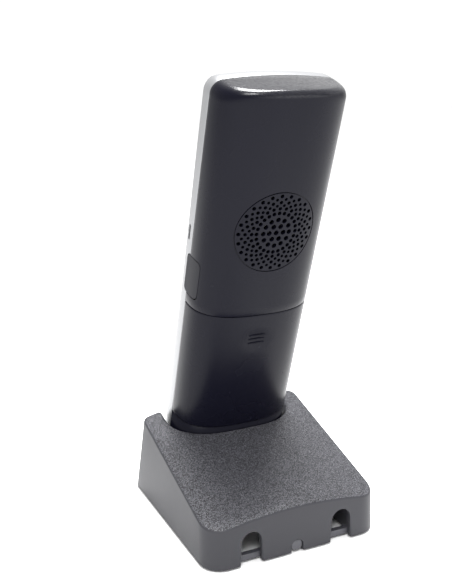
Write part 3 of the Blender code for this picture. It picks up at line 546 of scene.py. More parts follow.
# %% Sizes on the rear cover
DOOR_BOTTOM, DOOR_TOP = 40.5 * MM, 93.9 * MM
GRILLE = 129.1 * MM
GROOVE_RADIUS, GROOVE_WIDTH, GROOVE_DEPTH = 15.84 * MM, 0.42 * MM, 0.4 * MM
HOLE_RINGS = [(0, 1, 2.0), (2.8, 6, 2.0), (5.2, 12, 1.9), (7.8, 24, 1.55), (9.6, 24, 1.45), (10.8, 24, 1.2),
              (12.0, 24, 1.4), (13.2, 24, 1.2), (14.4, 24, 1.5)]
HALF_STEP_RINGS = (10.8, 13.2)
JACK_LOW, JACK_HIGH, JACK_FRONT, JACK_REAR = 98.0 * MM, 113.7 * MM, -2.0 * MM, 7.3 * MM
JACK_POCKET = 3.4 * MM
END_REGION, EDGE_BREAK = 7.0 * MM, 0.28 * MM


def jack_block(grow, depth):
    """The round-cornered block that the headset socket and its cover are cut with."""
    return rounded_box((HALF_WIDTH - depth, JACK_FRONT - grow, JACK_LOW - grow),
                       (HALF_WIDTH + 3 * MM, JACK_REAR + grow, JACK_HIGH + grow), 2.0 * MM, "X")


print("grille holes:", sum(ring[1] for ring in HOLE_RINGS))

# %% Upper part of the rear cover
stations = evenly(DOOR_TOP + GAP, TOP - END_REGION)[:-1] + [TOP - step for step in reversed(END_STEPS)]
upper = wrapped(stations)
edge = [e for e in upper.edges if e.is_boundary and all(v.co.z > TOP - 2.5 * MM for v in e.verts)]
for share in (0.75, 0.5, 0.25, 0.0):
    edge, fresh = pulled_out(upper, edge)
    for vert in fresh:
        reach = min(1, abs(vert.co.x) / (HALF_WIDTH - TOP_CORNER))
        ridge = (BULGE - SEAM - END_ROUNDING) * (1 - reach ** ROUNDNESS) ** (1 / ROUNDNESS)
        vert.co.y = SEAM + ridge * share
bmesh.ops.remove_doubles(upper, verts=upper.verts, dist=0.002 * MM)
bmesh.ops.recalc_face_normals(upper, faces=upper.faces)
rear_cover = loose_object("rear_cover_upper", upper, HANDSET)
thicken(rear_cover, SHELL_WALL)
break_edges(rear_cover, EDGE_BREAK)
print("rear cover, before its openings:", len(rear_cover.data.polygons), "faces")

# %% Grille and socket opening
groove = bmesh.new()
for radius in (GROOVE_RADIUS - GROOVE_WIDTH / 2, GROOVE_RADIUS + GROOVE_WIDTH / 2):
    bmesh.ops.create_circle(groove, segments=96, radius=radius, matrix=Matrix.Rotation(math.pi / 2, 4, "X"))
ring_faces = bmesh.ops.bridge_loops(groove, edges=groove.edges[:])["faces"]
lifted_ring = bmesh.ops.extrude_face_region(groove, geom=ring_faces)["geom"]
top_verts = {v for v in lifted_ring if isinstance(v, bmesh.types.BMVert)}
for vert in groove.verts:
    vert.co.y = dome(vert.co.x) + (1.5 * MM if vert in top_verts else -GROOVE_DEPTH)
    vert.co.z += GRILLE
carve(rear_cover, groove, HANDSET)

holes = bmesh.new()
for radius, count, diameter in HOLE_RINGS:
    for k in range(count):
        turn = 2 * math.pi * (k + (0.5 if radius in HALF_STEP_RINGS else 0)) / count
        spot = (radius * MM * math.cos(turn), 10.8 * MM, GRILLE + radius * MM * math.sin(turn))
        rod(holes, spot, diameter / 2 * MM, 7 * MM)
carve(rear_cover, holes, HANDSET)
carve(rear_cover, jack_block(GAP, JACK_POCKET), HANDSET)
install(rear_cover, "charcoal", "handset", "rear_cover")

# %% Bay and toe, from a copy of the frame's cover
copy = bmesh.new()
copy.from_mesh(frame["nodes"]["rear_cover"].data)
bmesh.ops.remove_doubles(copy, verts=copy.verts, dist=0.001 * MM)
parting = HANDSET @ Vector((0, 0, DOOR_TOP + GAP - 0.02 * MM))
bmesh.ops.bisect_plane(copy, geom=copy.verts[:] + copy.edges[:] + copy.faces[:], plane_co=parting,
                       plane_no=lift_axis, clear_outer=True)
install(loose_object("rear_cover_bay", copy, UPRIGHT), "charcoal", "handset", "rear_cover")

# %% [markdown]
# ## Battery door
# The door slides off the middle of the back.  It is the same skin between two stations, with a
# shallow thumb dish near its top and three short ribs to push on.  The dish is pressed into the
# grid before the wall is added, so the inside follows it.

# %% Battery door
DISH_CENTRE, DISH_RADII, DISH_DEPTH = Vector((0.4 * MM, 83.0 * MM)), (8.5 * MM, 7.0 * MM), 0.45 * MM
RIB_HALF, RIB_X, RIB_ROWS = 3.3 * MM, 0.4 * MM, (84.6 * MM, 82.85 * MM, 81.1 * MM)
RIB_HALF_THICK, RIB_RISE, RIB_ROOT = 0.28 * MM, 0.42 * MM, 0.8 * MM
DOOR_WALL = 1.5 * MM


def dish(x, z):
    """How deep the thumb dish is at a point of the door."""
    reach = math.hypot((x - DISH_CENTRE.x) / DISH_RADII[0], (z - DISH_CENTRE.y) / DISH_RADII[1])
    return DISH_DEPTH * (0.5 + 0.5 * math.cos(math.pi * reach)) if reach < 1 else 0.0


panel = wrapped(evenly(DOOR_BOTTOM, DOOR_TOP, 0.9 * MM), columns=110)
for vert in panel.verts:
    vert.co.y -= dish(vert.co.x, vert.co.z)
bmesh.ops.recalc_face_normals(panel, faces=panel.faces)
door = loose_object("battery_door_panel", panel, HANDSET)
thicken(door, DOOR_WALL)
break_edges(door, EDGE_BREAK)
for row in RIB_ROWS:
    base_level = dome(RIB_X) - dish(RIB_X, row)
    rib = rounded_box((RIB_X - RIB_HALF, base_level - RIB_ROOT, row - RIB_HALF_THICK),
                      (RIB_X + RIB_HALF, base_level + RIB_RISE, row + RIB_HALF_THICK), 0.25 * MM, "X", 3)
    carve(door, rib, HANDSET, "UNION")
install(door, "charcoal", "battery_door", "battery_door")

# %% [markdown]
# ## Silver band
# A painted hoop runs round the handset between the cover and the face.  It starts as a circle of
# points moved on to the outline, is drawn out to its depth, and gets a wall and soft edges.
# The headset socket's opening and a slot for a belt clip on each side are carved through it.

# %% The handset's outline
BAND_DEPTH, BAND_WALL, BAND_BOW = 5.4 * MM, 1.6 * MM, 0.3 * MM
CLIP_LOW, CLIP_HIGH, CLIP_AT, CLIP_HALF = 118.8 * MM, 125.0 * MM, -2.9 * MM, 0.7 * MM
OUTLINE_POINTS = 264


def outline_point(share, inset=0.0):
    """A point of the handset's outline, a share of the way round it from the middle of its top."""
    half, low, high = HALF_WIDTH - inset, TOE + inset, TOP - inset
    toe_corner, top_corner = TOE_CORNER - inset, TOP_CORNER - inset
    runs = [half - top_corner, top_corner * math.pi / 2, high - low - top_corner - toe_corner,
            toe_corner * math.pi / 2, half - toe_corner]
    total = sum(runs)
    side = 1 if share < 0.5 else -1
    left = (share if share < 0.5 else 1 - share) * 2 * total
    if left < runs[0]:
        x, z = left, high
    elif (left := left - runs[0]) < runs[1]:
        turn = left / top_corner
        x = half - top_corner + top_corner * math.sin(turn)
        z = high - top_corner + top_corner * math.cos(turn)
    elif (left := left - runs[1]) < runs[2]:
        x, z = half, high - top_corner - left
    elif (left := left - runs[2]) < runs[3]:
        turn = left / toe_corner
        x = half - toe_corner + toe_corner * math.cos(turn)
        z = low + toe_corner - toe_corner * math.sin(turn)
    else:
        x, z = half - toe_corner - (left - runs[3]), low
    return Vector((side * x, crowned(x, z)))


def outline_ring(inset, depth):
    """The handset's outline as a ring of points at one depth."""
    points = (outline_point(k / OUTLINE_POINTS, inset) for k in range(OUTLINE_POINTS))
    return [Vector((point.x, depth, point.y)) for point in points]


print("points round the handset:", OUTLINE_POINTS)

# %% The band, carved and finished
BAND_STEPS = 8
hoop = bmesh.new()
hoop_verts = bmesh.ops.create_circle(hoop, segments=OUTLINE_POINTS, radius=1)["verts"]
for vert, point in zip(hoop_verts, outline_ring(0, -SEAM)):
    vert.co = point
edge = hoop.edges[:]
for step in range(1, BAND_STEPS + 1):
    edge, fresh = pulled_out(hoop, edge)
    for vert in fresh:
        vert.co.y = -SEAM + (SEAM - BAND_DEPTH) * step / BAND_STEPS
middle = Vector((0, 99 * MM))
for vert in hoop.verts:
    across = (vert.co.y + (SEAM + BAND_DEPTH) / 2) / ((BAND_DEPTH - SEAM) / 2)
    reach = Vector((vert.co.x, vert.co.z)) - middle
    drawn_back = BAND_BOW * across ** 2 / reach.length
    vert.co.x -= reach.x * drawn_back
    vert.co.z -= reach.y * drawn_back
face_outwards(hoop)
band = loose_object("silver_band", hoop, HANDSET)
thicken(band, BAND_WALL)
break_edges(band, 0.25 * MM, 3)
carve(band, jack_block(GAP, JACK_POCKET), HANDSET)
# Each clip slot gets a black piece, set shallow in it, that covers its silver walls: a dark piece that stands for
# the shade inside the slot.
LINING_IN, LINING_HALF, LINING_GROW = 0.65 * MM, 0.3 * MM, 0.02 * MM
for side in (-1, 1):
    slot_cut = rounded_box((side * HALF_WIDTH - 1.0 * MM, CLIP_AT - CLIP_HALF, CLIP_LOW),
                           (side * HALF_WIDTH + 1.0 * MM, CLIP_AT + CLIP_HALF, CLIP_HIGH), 0.5 * MM, "X", 3)
    carve(band, slot_cut, HANDSET)
    inner_x = side * (HALF_WIDTH - LINING_IN)
    low = (inner_x - LINING_HALF, CLIP_AT - CLIP_HALF - LINING_GROW, CLIP_LOW - LINING_GROW)
    high = (inner_x + LINING_HALF, CLIP_AT + CLIP_HALF + LINING_GROW, CLIP_HIGH + LINING_GROW)
    slot_shade_lining = loose_object("clip_slot_shade_" + ("left" if side > 0 else "right"),
                          rounded_box(low, high, 0.4 * MM, "X", 3), HANDSET)
    install(slot_shade_lining, "black_plastic", "handset")
install(band, "silver", "handset", "side_band")

# %% [markdown]
# ## Headset socket cover
# A soft plug of rubber sits flush in the side.  It is the part of the skin, and of the straight
# side below it, that lies inside a round-cornered block, so the two are intersected.

# %% Headset socket cover
FLANK_MARGIN, FLANK_FRONT, FLANK_DEPTH, COVER_WALL = 4 * MM, -5 * MM, 16 * MM, 1.5 * MM
flank = bmesh.new()
flank_rows = evenly(JACK_LOW - FLANK_MARGIN, JACK_HIGH + FLANK_MARGIN, 2 * MM)
bmesh.ops.create_grid(flank, x_segments=48, y_segments=len(flank_rows) - 1, size=0.5)
for vert in flank.verts:
    depth = FLANK_FRONT + (vert.co.x + 0.5) * FLANK_DEPTH
    z = flank_rows[round((vert.co.y + 0.5) * (len(flank_rows) - 1))]
    rise = max(0.0, (depth - SEAM) / (BULGE - SEAM))
    vert.co = (HALF_WIDTH * (1 - rise ** ROUNDNESS) ** (1 / ROUNDNESS), depth, z)
face_outwards(flank)
jack_cover = loose_object("socket_cover", flank, HANDSET)
thicken(jack_cover, COVER_WALL)
carve(jack_cover, jack_block(0, 8 * MM), HANDSET, "INTERSECT")
break_edges(jack_cover, 0.18 * MM)
install(jack_cover, "rubber", "jack_cover", "jack_cover")

# %% [markdown]
# ## Base shell
# The base is one hollow wedge: drafted walls, a crowned top that slopes to the rear, and round
# corners.  Each level is a ring of points drawn up from the one below, first up the wall, then
# over the top edge, then in to the middle.  The cradle is carved with a cutter whose mouth
# flares, so that the shoulders beside the handset come out rounded.

# %% The base's outline and top
BASE_HALF, BASE_REAR, BASE_FRONT = 36.62 * MM, 40.25 * MM, -37.75 * MM
SIDE_DRAFT, REAR_DRAFT, FRONT_LEAN, FRONT_BOW = 0.019, 0.030, 0.288, 2.0 * MM
REAR_CORNER, FRONT_CORNER = 8.5 * MM, 3.4 * MM
TOP_REAR, TOP_SLOPE, DECK_CROWN = 17.97 * MM, 0.2947, 4.03 * MM
BASE_WALL = 2.0 * MM
FRONT_SLOPE = math.atan(2 * FRONT_BOW / BASE_HALF)
FRONT_INSET_SHARE = 1.2

quarter = [("rear", 1, k / 14) for k in range(0, 14)] + [("rear_corner", 1, 1 - k / 10) for k in range(10)]
quarter += [("side", 1, k / 10) for k in range(10)] + [("front_corner", 1, k / 6) for k in range(6)]
quarter += [("front", 1, 1 - k / 10) for k in range(10)]
BASE_SPOTS = quarter + [("front", 1, 0.0)]
BASE_SPOTS += [(kind, -1, share) for kind, _, share in reversed(quarter[1:])]


print("points round the base:", len(BASE_SPOTS))

# %% A point of the base's outline
def base_point(spot, height, inset):
    """A point of the base's outline at a height; the walls draw in as they rise."""
    kind, side, share = spot
    half = BASE_HALF - SIDE_DRAFT * height - inset
    rear = BASE_REAR - REAR_DRAFT * height - inset
    front = BASE_FRONT + FRONT_LEAN * height + inset
    rear_radius, front_radius = REAR_CORNER - inset, max(FRONT_CORNER - inset, 1.0 * MM)
    sweep = math.pi / 2 - FRONT_SLOPE
    middle = 2 * math.pi - sweep / 2
    centre = Vector((half, front))
    centre -= Vector((math.cos(middle), math.sin(middle))) * front_radius / math.cos(sweep / 2)
    if kind == "rear":
        point = Vector((share * (half - rear_radius), rear))
    elif kind == "rear_corner":
        turn = share * math.pi / 2
        point = Vector((half - rear_radius + rear_radius * math.sin(math.pi / 2 - turn),
                        rear - rear_radius + rear_radius * math.sin(turn)))
    elif kind == "side":
        point = Vector((half, rear - rear_radius + share * (centre.y - rear + rear_radius)))
    elif kind == "front_corner":
        turn = -share * sweep
        point = centre + Vector((math.cos(turn), math.sin(turn))) * front_radius
    else:
        x = share * (half - front_radius * FRONT_INSET_SHARE)
        point = Vector((x, front - FRONT_BOW * (1 - (x / half) ** 2)))
    return Vector((side * point.x, point.y))


print("rear corner starts at", [round(v / MM, 1) for v in base_point(("rear", 1, 1), 0, 0)], "mm")

# %% The sloping top
def deck(x, y):
    """Height of the sloping top over a point, from the lower edge of the shell."""
    return TOP_REAR + TOP_SLOPE * (BASE_REAR - y) - DECK_CROWN * (x / BASE_HALF) ** 2


def rim(inset, drop):
    """A ring that lies `drop` under the top, where the drafted wall reaches it."""
    ring = []
    for spot in BASE_SPOTS:
        height = TOP_REAR
        for _ in range(5):
            point = base_point(spot, height, inset)
            height = deck(*point) - drop
        ring.append(Vector((*point, height + FOOT_LIFT)))
    return ring


print("deck's height at the rear:", round(deck(0, BASE_REAR) / MM, 2), "mm")

# %% Solids drawn up through rings
def drawn_up(rings):
    """A solid drawn up from a circle of points through a list of rings."""
    bm = bmesh.new()
    row = bmesh.ops.create_circle(bm, segments=len(rings[0]), radius=1, cap_ends=True)["verts"]
    for vert, point in zip(row, rings[0]):
        vert.co = point
    edges = bm.edges[:]
    for ring in rings[1:]:
        edges, fresh = pulled_out(bm, edges)
        fresh = set(fresh)
        row = [next(e.other_vert(v) for e in v.link_edges if e.other_vert(v) in fresh) for v in row]
        for vert, point in zip(row, ring):
            vert.co = point
    bmesh.ops.contextual_create(bm, geom=edges)
    bmesh.ops.recalc_face_normals(bm, faces=bm.faces)
    return bm


def wedge(inset, lowered, bottom, top_edge):
    """The base as a solid, drawn in and lowered by a wall when it is to be the hollow."""
    rings = [[Vector((*base_point(spot, bottom, inset), bottom + FOOT_LIFT)) for spot in BASE_SPOTS]]
    for k in range(6):
        turn = math.pi / 2 * k / 5
        rings.append(rim(inset + top_edge * (1 - math.cos(turn)), lowered + top_edge * (1 - math.sin(turn))))
    edge_ring = [Vector(point[:2]) for point in rings[-1]]
    for share in (0.92, 0.8, 0.65, 0.5, 0.35, 0.2, 0.07):
        shrunk = [point * share for point in edge_ring]
        rings.append([Vector((*p, deck(*p) - lowered + FOOT_LIFT)) for p in shrunk])
    return drawn_up(rings)


print("solid helpers: drawn_up, wedge")

# %% The cradle's section
CLEARANCE, CRADLE_FLOOR, CRADLE_FRONT, CRADLE_WALL = 0.8 * MM, 15.2 * MM, -7.1 * MM, 1.6 * MM
BACK_FLARE, SIDE_FLARE, FLARE_FADE = 0.5 * MM, 5.5 * MM, 12.0 * MM
CRADLE_COLUMNS = 64


def cradle_section(z, grown, floor):
    """The handset's section at a station, grown all round, as points (across, out of the back)."""
    toe_corner, toe_round = TOE_CORNER + grown, END_ROUNDING + grown
    half = HALF_WIDTH + grown - drawn(z - floor, toe_corner)
    rise = BULGE + grown - SEAM - drawn(z - floor, toe_round)
    points = []
    for k in range(CRADLE_COLUMNS + 1):
        angle = math.pi * k / CRADLE_COLUMNS
        points.append(Vector((half * superpower(math.cos(angle)), SEAM + rise * superpower(math.sin(angle)))))
    front = CRADLE_FRONT - (grown - CLEARANCE)
    points += [Vector((-half, SEAM + (front - SEAM) * share)) for share in (0.25, 0.5, 0.75, 1.0)]
    points += [Vector((half * share, front)) for share in (-0.75, -0.5, -0.25, 0, 0.25, 0.5, 0.75)]
    points += [Vector((half, SEAM + (front - SEAM) * share)) for share in (1.0, 0.75, 0.5, 0.25)]
    return points


def station_at_deck(point):
    """Where a line along the handset, through a point of its section, meets the base's top."""
    sine, cosine = math.sin(LEAN), math.cos(LEAN)
    level = TOP_REAR + TOP_SLOPE * (BASE_REAR - HANDSET_ORIGIN.y - cosine * point.y)
    level -= DECK_CROWN * (point.x / BASE_HALF) ** 2
    return (level + sine * point.y) / (cosine + TOP_SLOPE * sine)


print("cradle floor", CRADLE_FLOOR / MM, "mm along the handset")

# %% The cradle's cutter
def cradle_cutter():
    """The handset's toe, grown by its clearance, with a mouth that flares as it meets the deck."""
    rings = []
    for step in [*END_STEPS, 8.0 * MM]:
        station = CRADLE_FLOOR + step
        rings.append([Vector((p.x, p.y, station)) for p in cradle_section(station, CLEARANCE, CRADLE_FLOOR)])
    section = cradle_section(60 * MM, CLEARANCE, CRADLE_FLOOR)
    outward, flare = [], []
    for k, point in enumerate(section):
        along = (section[(k + 1) % len(section)] - section[k - 1]).normalized()
        outward.append(Vector((along.y, -along.x)))
        fade = min(1.0, max(0.0, 1 - point.y / FLARE_FADE))
        flare.append(BACK_FLARE + (SIDE_FLARE - BACK_FLARE) * fade)
    for k in range(8):
        turn = math.pi / 2 * k / 7
        ring = []
        for point, way, radius in zip(section, outward, flare):
            spot = point + way * radius * (1 - math.cos(turn))
            ring.append(Vector((*spot, station_at_deck(point) - radius * (1 - math.sin(turn)))))
        rings.append(ring)
    rings.append([Vector((p.x, p.y, p.z + 22 * MM)) for p in rings[-1]])
    return drawn_up(rings)


print("mouth flares by", BACK_FLARE / MM, "to", SIDE_FLARE / MM, "mm")

# %% Notches, and the lip in front
NOTCH_X, NOTCH_HALF, NOTCH_TOP, NOTCH_TAPER = 19.0 * MM, 4.45 * MM, 12.5 * MM, 0.1
LATCH_HALF, LATCH_TOP = 2.5 * MM, 4.7 * MM
LIP_HALF, LIP_FRONT, LIP_LEAN, LIP_HEIGHT, LIP_CORNER = 27.5 * MM, -40.25 * MM, 0.155, 20.0 * MM, 6.0 * MM
LIP_WALL, LIP_BACK = 1.7 * MM, -20.0 * MM


def arch_cutter(x, half, top, taper, flare):
    """A round-topped notch; each ring is an arch, drawn towards the rear and flared at the mouth."""
    def arch(y, grown):
        low, wide, narrow = -2 * MM, half + grown, half * (1 - taper) + grown
        spring = top - half * (1 - taper)
        curve = [math.pi * k / 16 for k in range(17)]
        points = [(x + wide, low)]
        points += [(x + narrow * math.cos(a), spring + narrow * math.sin(a)) for a in curve]
        return [Vector((px, y, pz + FOOT_LIFT)) for px, pz in points + [(x - wide, low)]]

    face = BASE_REAR - REAR_DRAFT * top / 2
    rings = [arch(BASE_REAR - BASE_WALL - 1.5 * MM, 0), arch(face - flare, 0)]
    for k in range(1, 5):
        turn = math.pi / 2 * k / 4
        rings.append(arch(face - flare * (1 - math.sin(turn)), flare * (1 - math.cos(turn))))
    rings.append(arch(face + 4 * MM, flare))
    return drawn_up(rings)


def lip_solid(inset, bottom, top, rounded=0.0):
    """The lip that holds the handset's chin in front, as a solid that leans back."""
    def level(height, shrink):
        front = LIP_FRONT + LIP_LEAN * height + inset + shrink
        half, corner = LIP_HALF - inset - shrink, LIP_CORNER - inset - shrink
        ring = [Vector((half, LIP_BACK, height)), Vector((-half, LIP_BACK, height))]
        for side, start in ((-1, math.pi), (1, 1.5 * math.pi)):
            middle = Vector((side * (half - corner), front + corner, height))
            turns = [start + math.pi / 2 * k / 8 for k in range(9)]
            ring += [middle + Vector((math.cos(a), math.sin(a), 0)) * corner for a in turns]
        return [point + Vector((0, 0, FOOT_LIFT)) for point in ring]

    rings = [level(bottom, 0), level(top - rounded, 0)]
    rings += [level(top - rounded * (1 - math.sin(a)), rounded * (1 - math.cos(a)))
              for a in (math.pi / 8, math.pi / 4, math.pi * 3 / 8, math.pi / 2) if rounded]
    return drawn_up(rings)


print("notches at", NOTCH_X / MM, "mm either side of the middle")

# %% Build the shell
SCOOP_HALF, SCOOP_BACK, SCOOP_CORNER = 26.2 * MM, -27.5 * MM, 4 * MM
NOTCH_FLARE, LATCH_FLARE, SHELL_SMOOTH = 0.45 * MM, 0.2 * MM, 25
TOP_EDGE = 0.75 * MM
PIN_X, PIN_DEPTH, PIN_HOLE = 8.0 * MM, 6.0 * MM, 1.5 * MM

base_shell = loose_object("base_shell", wedge(0, 0, 0, TOP_EDGE), UPRIGHT)
carve(base_shell, lip_solid(0, 0, LIP_HEIGHT, 0.8 * MM), UPRIGHT, "UNION")
hollow = loose_object("hollow", wedge(BASE_WALL, BASE_WALL, -3 * MM, TOP_EDGE), UPRIGHT)
carve(hollow, lip_solid(LIP_WALL, -3 * MM, LIP_HEIGHT - LIP_WALL), UPRIGHT, "UNION")
outside = CLEARANCE + CRADLE_WALL
walls = [[Vector((p.x, p.y, station)) for p in cradle_section(station, outside, CRADLE_FLOOR - CRADLE_WALL)]
         for station in [CRADLE_FLOOR - CRADLE_WALL + step for step in [*END_STEPS, 50 * MM]]]
carve(hollow, drawn_up(walls), HANDSET)
inside = bmesh.new()
inside.from_mesh(hollow.data)
bpy.data.objects.remove(hollow)
carve(base_shell, inside, UPRIGHT)
carve(base_shell, cradle_cutter(), HANDSET)
scoop = rounded_box((-SCOOP_HALF, -60 * MM, LIP_HEIGHT + FOOT_LIFT), (SCOOP_HALF, SCOOP_BACK, 61 * MM),
                    SCOOP_CORNER)
carve(base_shell, scoop, UPRIGHT)
for side in (-1, 1):
    carve(base_shell, arch_cutter(side * NOTCH_X, NOTCH_HALF, NOTCH_TOP, NOTCH_TAPER, NOTCH_FLARE), UPRIGHT)
    pin_hole = bmesh.new()
    rod(pin_hole, (side * PIN_X, PIN_DEPTH, 10 * MM), PIN_HOLE, 10 * MM, "Z", 24)
    carve(base_shell, pin_hole, HANDSET)
carve(base_shell, arch_cutter(0, LATCH_HALF, LATCH_TOP, 0, LATCH_FLARE), UPRIGHT)
install(base_shell, "base_grey", "base", "base_top_shell", smooth_angle=SHELL_SMOOTH)

# %% [markdown]
# ## Front cover
# The face is a flat moulding with a rounded rim.  It is drawn up from the outline in rings
# that shrink like a quarter circle, and every opening is cut with one joined cutter:
# display window, keys, rocker, three slits for the ear and a pinhole for the voice.

# %% Where the keys and openings are
FACE_BACK, FACE_FRONT, FACE_ROUND, FACE_INSET = -5.55 * MM, -6.6 * MM, 0.8 * MM, 0.7 * MM
WINDOW_HALF, WINDOW_LOW, WINDOW_HIGH = 17.0 * MM, 121.0 * MM, 154.0 * MM
EAR_AT, MOUTH_AT = 168.0 * MM, 45.0 * MM
KEY_GAP, KEY_CORNER = 0.3 * MM, 1.6 * MM
DIGIT_SIZE, CALL_SIZE, SOFT_SIZE = (11.4 * MM, 6.4 * MM), (10.6 * MM, 8.0 * MM), (10.6 * MM, 5.6 * MM)
ROCKER_AT, ROCKER_SIZE, ROCKER_CORNER = 101.5 * MM, (15.4 * MM, 18.0 * MM), 6.5 * MM
KEY_ROWS = {81.5: ("1", "2", "3"), 72.0: ("4", "5", "6"), 62.5: ("7", "8", "9"), 53.0: ("star", "0", "hash")}
KEYS = []
for row, names in KEY_ROWS.items():
    for x, name in zip((-14, 0, 14), names):
        KEYS.append((f"key_{name}", x * MM, row * MM, DIGIT_SIZE, "key_grey"))
KEYS += [("talk_key", -15.6 * MM, 95.5 * MM, CALL_SIZE, "green_key"),
         ("end_key", 15.6 * MM, 95.5 * MM, CALL_SIZE, "red_key"),
         ("softkey_left", -15.6 * MM, 109.5 * MM, SOFT_SIZE, "key_grey"),
         ("softkey_right", 15.6 * MM, 109.5 * MM, SOFT_SIZE, "key_grey")]


def join(target, added):
    """Puts one bmesh's geometry into another."""
    mesh = bpy.data.meshes.new("joined")
    added.to_mesh(mesh)
    added.free()
    target.from_mesh(mesh)
    bpy.data.meshes.remove(mesh)


def opening(x, z, width, height, corner):
    """A cutter right through the face."""
    return rounded_box((x - width / 2, -12 * MM, z - height / 2),
                       (x + width / 2, -4.9 * MM, z + height / 2), corner)


print("keys:", ", ".join(key[0] for key in KEYS))

# %% Front cover
RIM_STEPS = 4
rings = [outline_ring(FACE_INSET, FACE_BACK)]
for k in range(RIM_STEPS + 1):
    turn = math.pi / 2 * k / RIM_STEPS
    rings.append(outline_ring(FACE_INSET + FACE_ROUND * (1 - math.cos(turn)),
                              FACE_FRONT + FACE_ROUND * (1 - math.sin(turn))))
front_cover = loose_object("front_cover_face", drawn_up(rings), HANDSET)

EAR_SLIT, EAR_PITCH, EAR_CORNER = (9.2 * MM, 1.2 * MM), 2.2 * MM, 0.55 * MM
MOUTH_WIDTH, MOUTH_CORNER, WINDOW_CORNER = 1.4 * MM, 0.65 * MM, 1.8 * MM
cuts = opening(0, (WINDOW_LOW + WINDOW_HIGH) / 2, 2 * (WINDOW_HALF + GAP),
               WINDOW_HIGH - WINDOW_LOW + 2 * GAP, WINDOW_CORNER)
for name, x, z, size, finish in KEYS:
    join(cuts, opening(x, z, size[0] + 2 * KEY_GAP, size[1] + 2 * KEY_GAP, KEY_CORNER + KEY_GAP))
join(cuts, opening(0, ROCKER_AT, ROCKER_SIZE[0] + 2 * KEY_GAP, ROCKER_SIZE[1] + 2 * KEY_GAP,
                   ROCKER_CORNER + KEY_GAP))
for k in (-1, 0, 1):
    join(cuts, opening(0, EAR_AT + EAR_PITCH * k, *EAR_SLIT, EAR_CORNER))
join(cuts, opening(0, MOUTH_AT, MOUTH_WIDTH, MOUTH_WIDTH, MOUTH_CORNER))
carve(front_cover, cuts, HANDSET)
install(front_cover, "charcoal", "handset", "front_cover", flat_faced=True)

# %% [markdown]
# ## Keys
# Each key is a rounded tablet: a box with its corners bevelled, then its front rim.  Plain
# digits and symbols are printed on it: text turned into mesh, a hair proud of the key, and
# riding on the same body.

# %% Key caps
KEY_FACE, KEY_BACK = -7.4 * MM, -5.6 * MM
SYMBOLS = {"key_star": "*", "key_hash": "#", "softkey_left": "-", "softkey_right": "-"}
LEGEND_PROUD, LEGEND_HEIGHT = 0.02 * MM, 4.6 * MM
CALL_TILTS = {"talk_key": -0.5, "end_key": math.pi}


def key_cap(x, z, size, corner, rim=0.45 * MM):
    """A tablet with round corners and a soft front rim."""
    cap = rounded_box((x - size[0] / 2, KEY_FACE, z - size[1] / 2),
                      (x + size[0] / 2, KEY_BACK, z + size[1] / 2), corner, "Y", 6)
    soften_front(cap, rim, 4)
    return cap


print("keys stand", round((FACE_FRONT - KEY_FACE) / MM, 1), "mm proud of the face")

# %% Printing on a key
def printed(name, shapes, finish, body):
    """Joins flat shapes, already in place, into one printed legend."""
    legend = bmesh.new()
    for shape in shapes:
        join(legend, shape)
    piece = loose_object(name, legend, HANDSET)
    return install(piece, finish, body)


def text_shape(words, x, z, height):
    """Flat mesh of some characters on a key's face, read from the front."""
    curve = bpy.data.curves.new("words", "FONT")
    curve.body = words
    curve.size = height
    curve.align_x = "CENTER"
    curve.align_y = "CENTER"
    holder = bpy.data.objects.new("words", curve)
    scene.collection.objects.link(holder)
    flat = bpy.data.meshes.new_from_object(holder.evaluated_get(bpy.context.evaluated_depsgraph_get()))
    bpy.data.objects.remove(holder)
    bm = bmesh.new()
    bm.from_mesh(flat)
    bpy.data.meshes.remove(flat)
    upright = Matrix.Translation((x, KEY_FACE - LEGEND_PROUD, z)) @ Matrix.Rotation(math.pi / 2, 4, "X")
    bmesh.ops.transform(bm, matrix=upright, verts=bm.verts)
    return bm


def handset_symbol(x, z, tilt):
    """A small receiver: a bar with two round ends."""
    bm = rounded_box((-2.1 * MM, -0.05 * MM, 0), (2.1 * MM, 0.0, 0.8 * MM), 0.3 * MM)
    for side in (-1, 1):
        join(bm, rounded_box((side * 1.65 * MM - 0.6 * MM, -0.05 * MM, -0.9 * MM),
                             (side * 1.65 * MM + 0.6 * MM, 0.0, 0.5 * MM), 0.35 * MM))
    place_it = Matrix.Translation((x, KEY_FACE - LEGEND_PROUD + 0.05 * MM, z)) @ Matrix.Rotation(tilt, 4, "Y")
    bmesh.ops.transform(bm, matrix=place_it, verts=bm.verts)
    return bm


print("printing stands", LEGEND_PROUD / MM, "mm proud")

# %% Place the keys
for name, x, z, size, finish in KEYS:
    cap = loose_object("cap_" + name, key_cap(x, z, size, KEY_CORNER), HANDSET)
    install(cap, finish, name, name, flat_faced=True)
    if name in CALL_TILTS:
        legend = handset_symbol(x, z, CALL_TILTS[name])
    else:
        legend = text_shape(SYMBOLS.get(name, name[-1]), x, z, LEGEND_HEIGHT)
    printed("legend_" + name, [legend], "legend_white", name)

# %% [markdown]
# ## Rocker, its middle key and the window
# The rocker is a larger cap with a round well for the middle key, and four small printed
# arrows.  The window is a thin smoked lens set flush in the face.

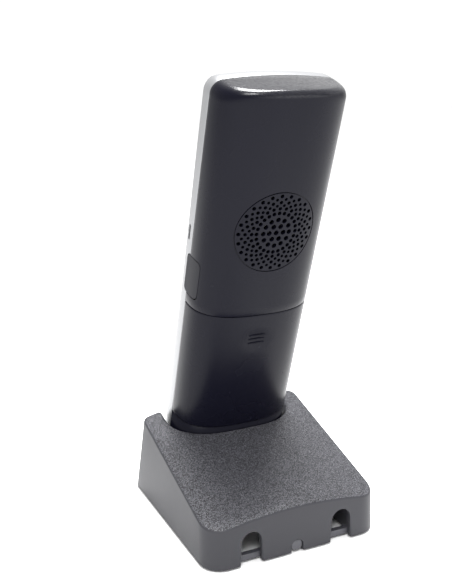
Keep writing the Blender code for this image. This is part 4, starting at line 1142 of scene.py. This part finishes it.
# %% Rocker and its middle key
OK_RADIUS, OK_GAP, ROCKER_RIM = 3.2 * MM, 0.4 * MM, 0.6 * MM
ARROW_RADIUS, ARROW_THICK, ARROW_UP, ARROW_ASIDE = 0.8 * MM, 0.04 * MM, 6.3 * MM, 5.6 * MM
rocker = loose_object("rocker_ring", key_cap(0, ROCKER_AT, ROCKER_SIZE, ROCKER_CORNER, rim=ROCKER_RIM),
                      HANDSET)
well = bmesh.new()
rod(well, (0, -12 * MM, ROCKER_AT), OK_RADIUS + OK_GAP, 10 * MM, sides=48)
carve(rocker, well, HANDSET)
install(rocker, "silver", "nav_rocker", "nav_rocker", flat_faced=True)
flat_on = Matrix.Rotation(-math.pi / 2, 4, "X") @ Matrix.Rotation(math.pi / 2, 4, "Z")
arrows = []
for turn in range(4):
    arrow = bmesh.new()
    bmesh.ops.create_cone(arrow, cap_ends=True, segments=3, radius1=ARROW_RADIUS, radius2=ARROW_RADIUS,
                          depth=ARROW_THICK)
    reach = ARROW_UP if turn % 2 == 0 else ARROW_ASIDE
    arrow_at = (Matrix.Translation((0, KEY_FACE, ROCKER_AT)) @ Matrix.Rotation(turn * math.pi / 2, 4, "Y")
                @ Matrix.Translation((0, 0, reach)))
    bmesh.ops.transform(arrow, matrix=arrow_at @ flat_on, verts=arrow.verts)
    arrows.append(arrow)
printed("legend_nav_rocker", arrows, "key_grey", "nav_rocker")

button = bmesh.new()
rod(button, (0, KEY_FACE - 0.1 * MM, ROCKER_AT), OK_RADIUS, 1.9 * MM, sides=48)
soften_front(button, 0.35 * MM, 3)
install(loose_object("cap_ok_key", button, HANDSET), "key_grey", "ok_key", "ok_key", flat_faced=True)

# %% Display window
LENS_THICK, LENS_CORNER = 0.9 * MM, 1.5 * MM
lens_mesh = rounded_box((-WINDOW_HALF, FACE_FRONT, WINDOW_LOW),
                        (WINDOW_HALF, FACE_FRONT + LENS_THICK, WINDOW_HIGH), LENS_CORNER, "Y", 6)
soften_front(lens_mesh, 0.2 * MM, 3)
lens = loose_object("window_lens", lens_mesh, HANDSET)
install(lens, "smoked_lens", "handset", "display_lens", flat_faced=True)
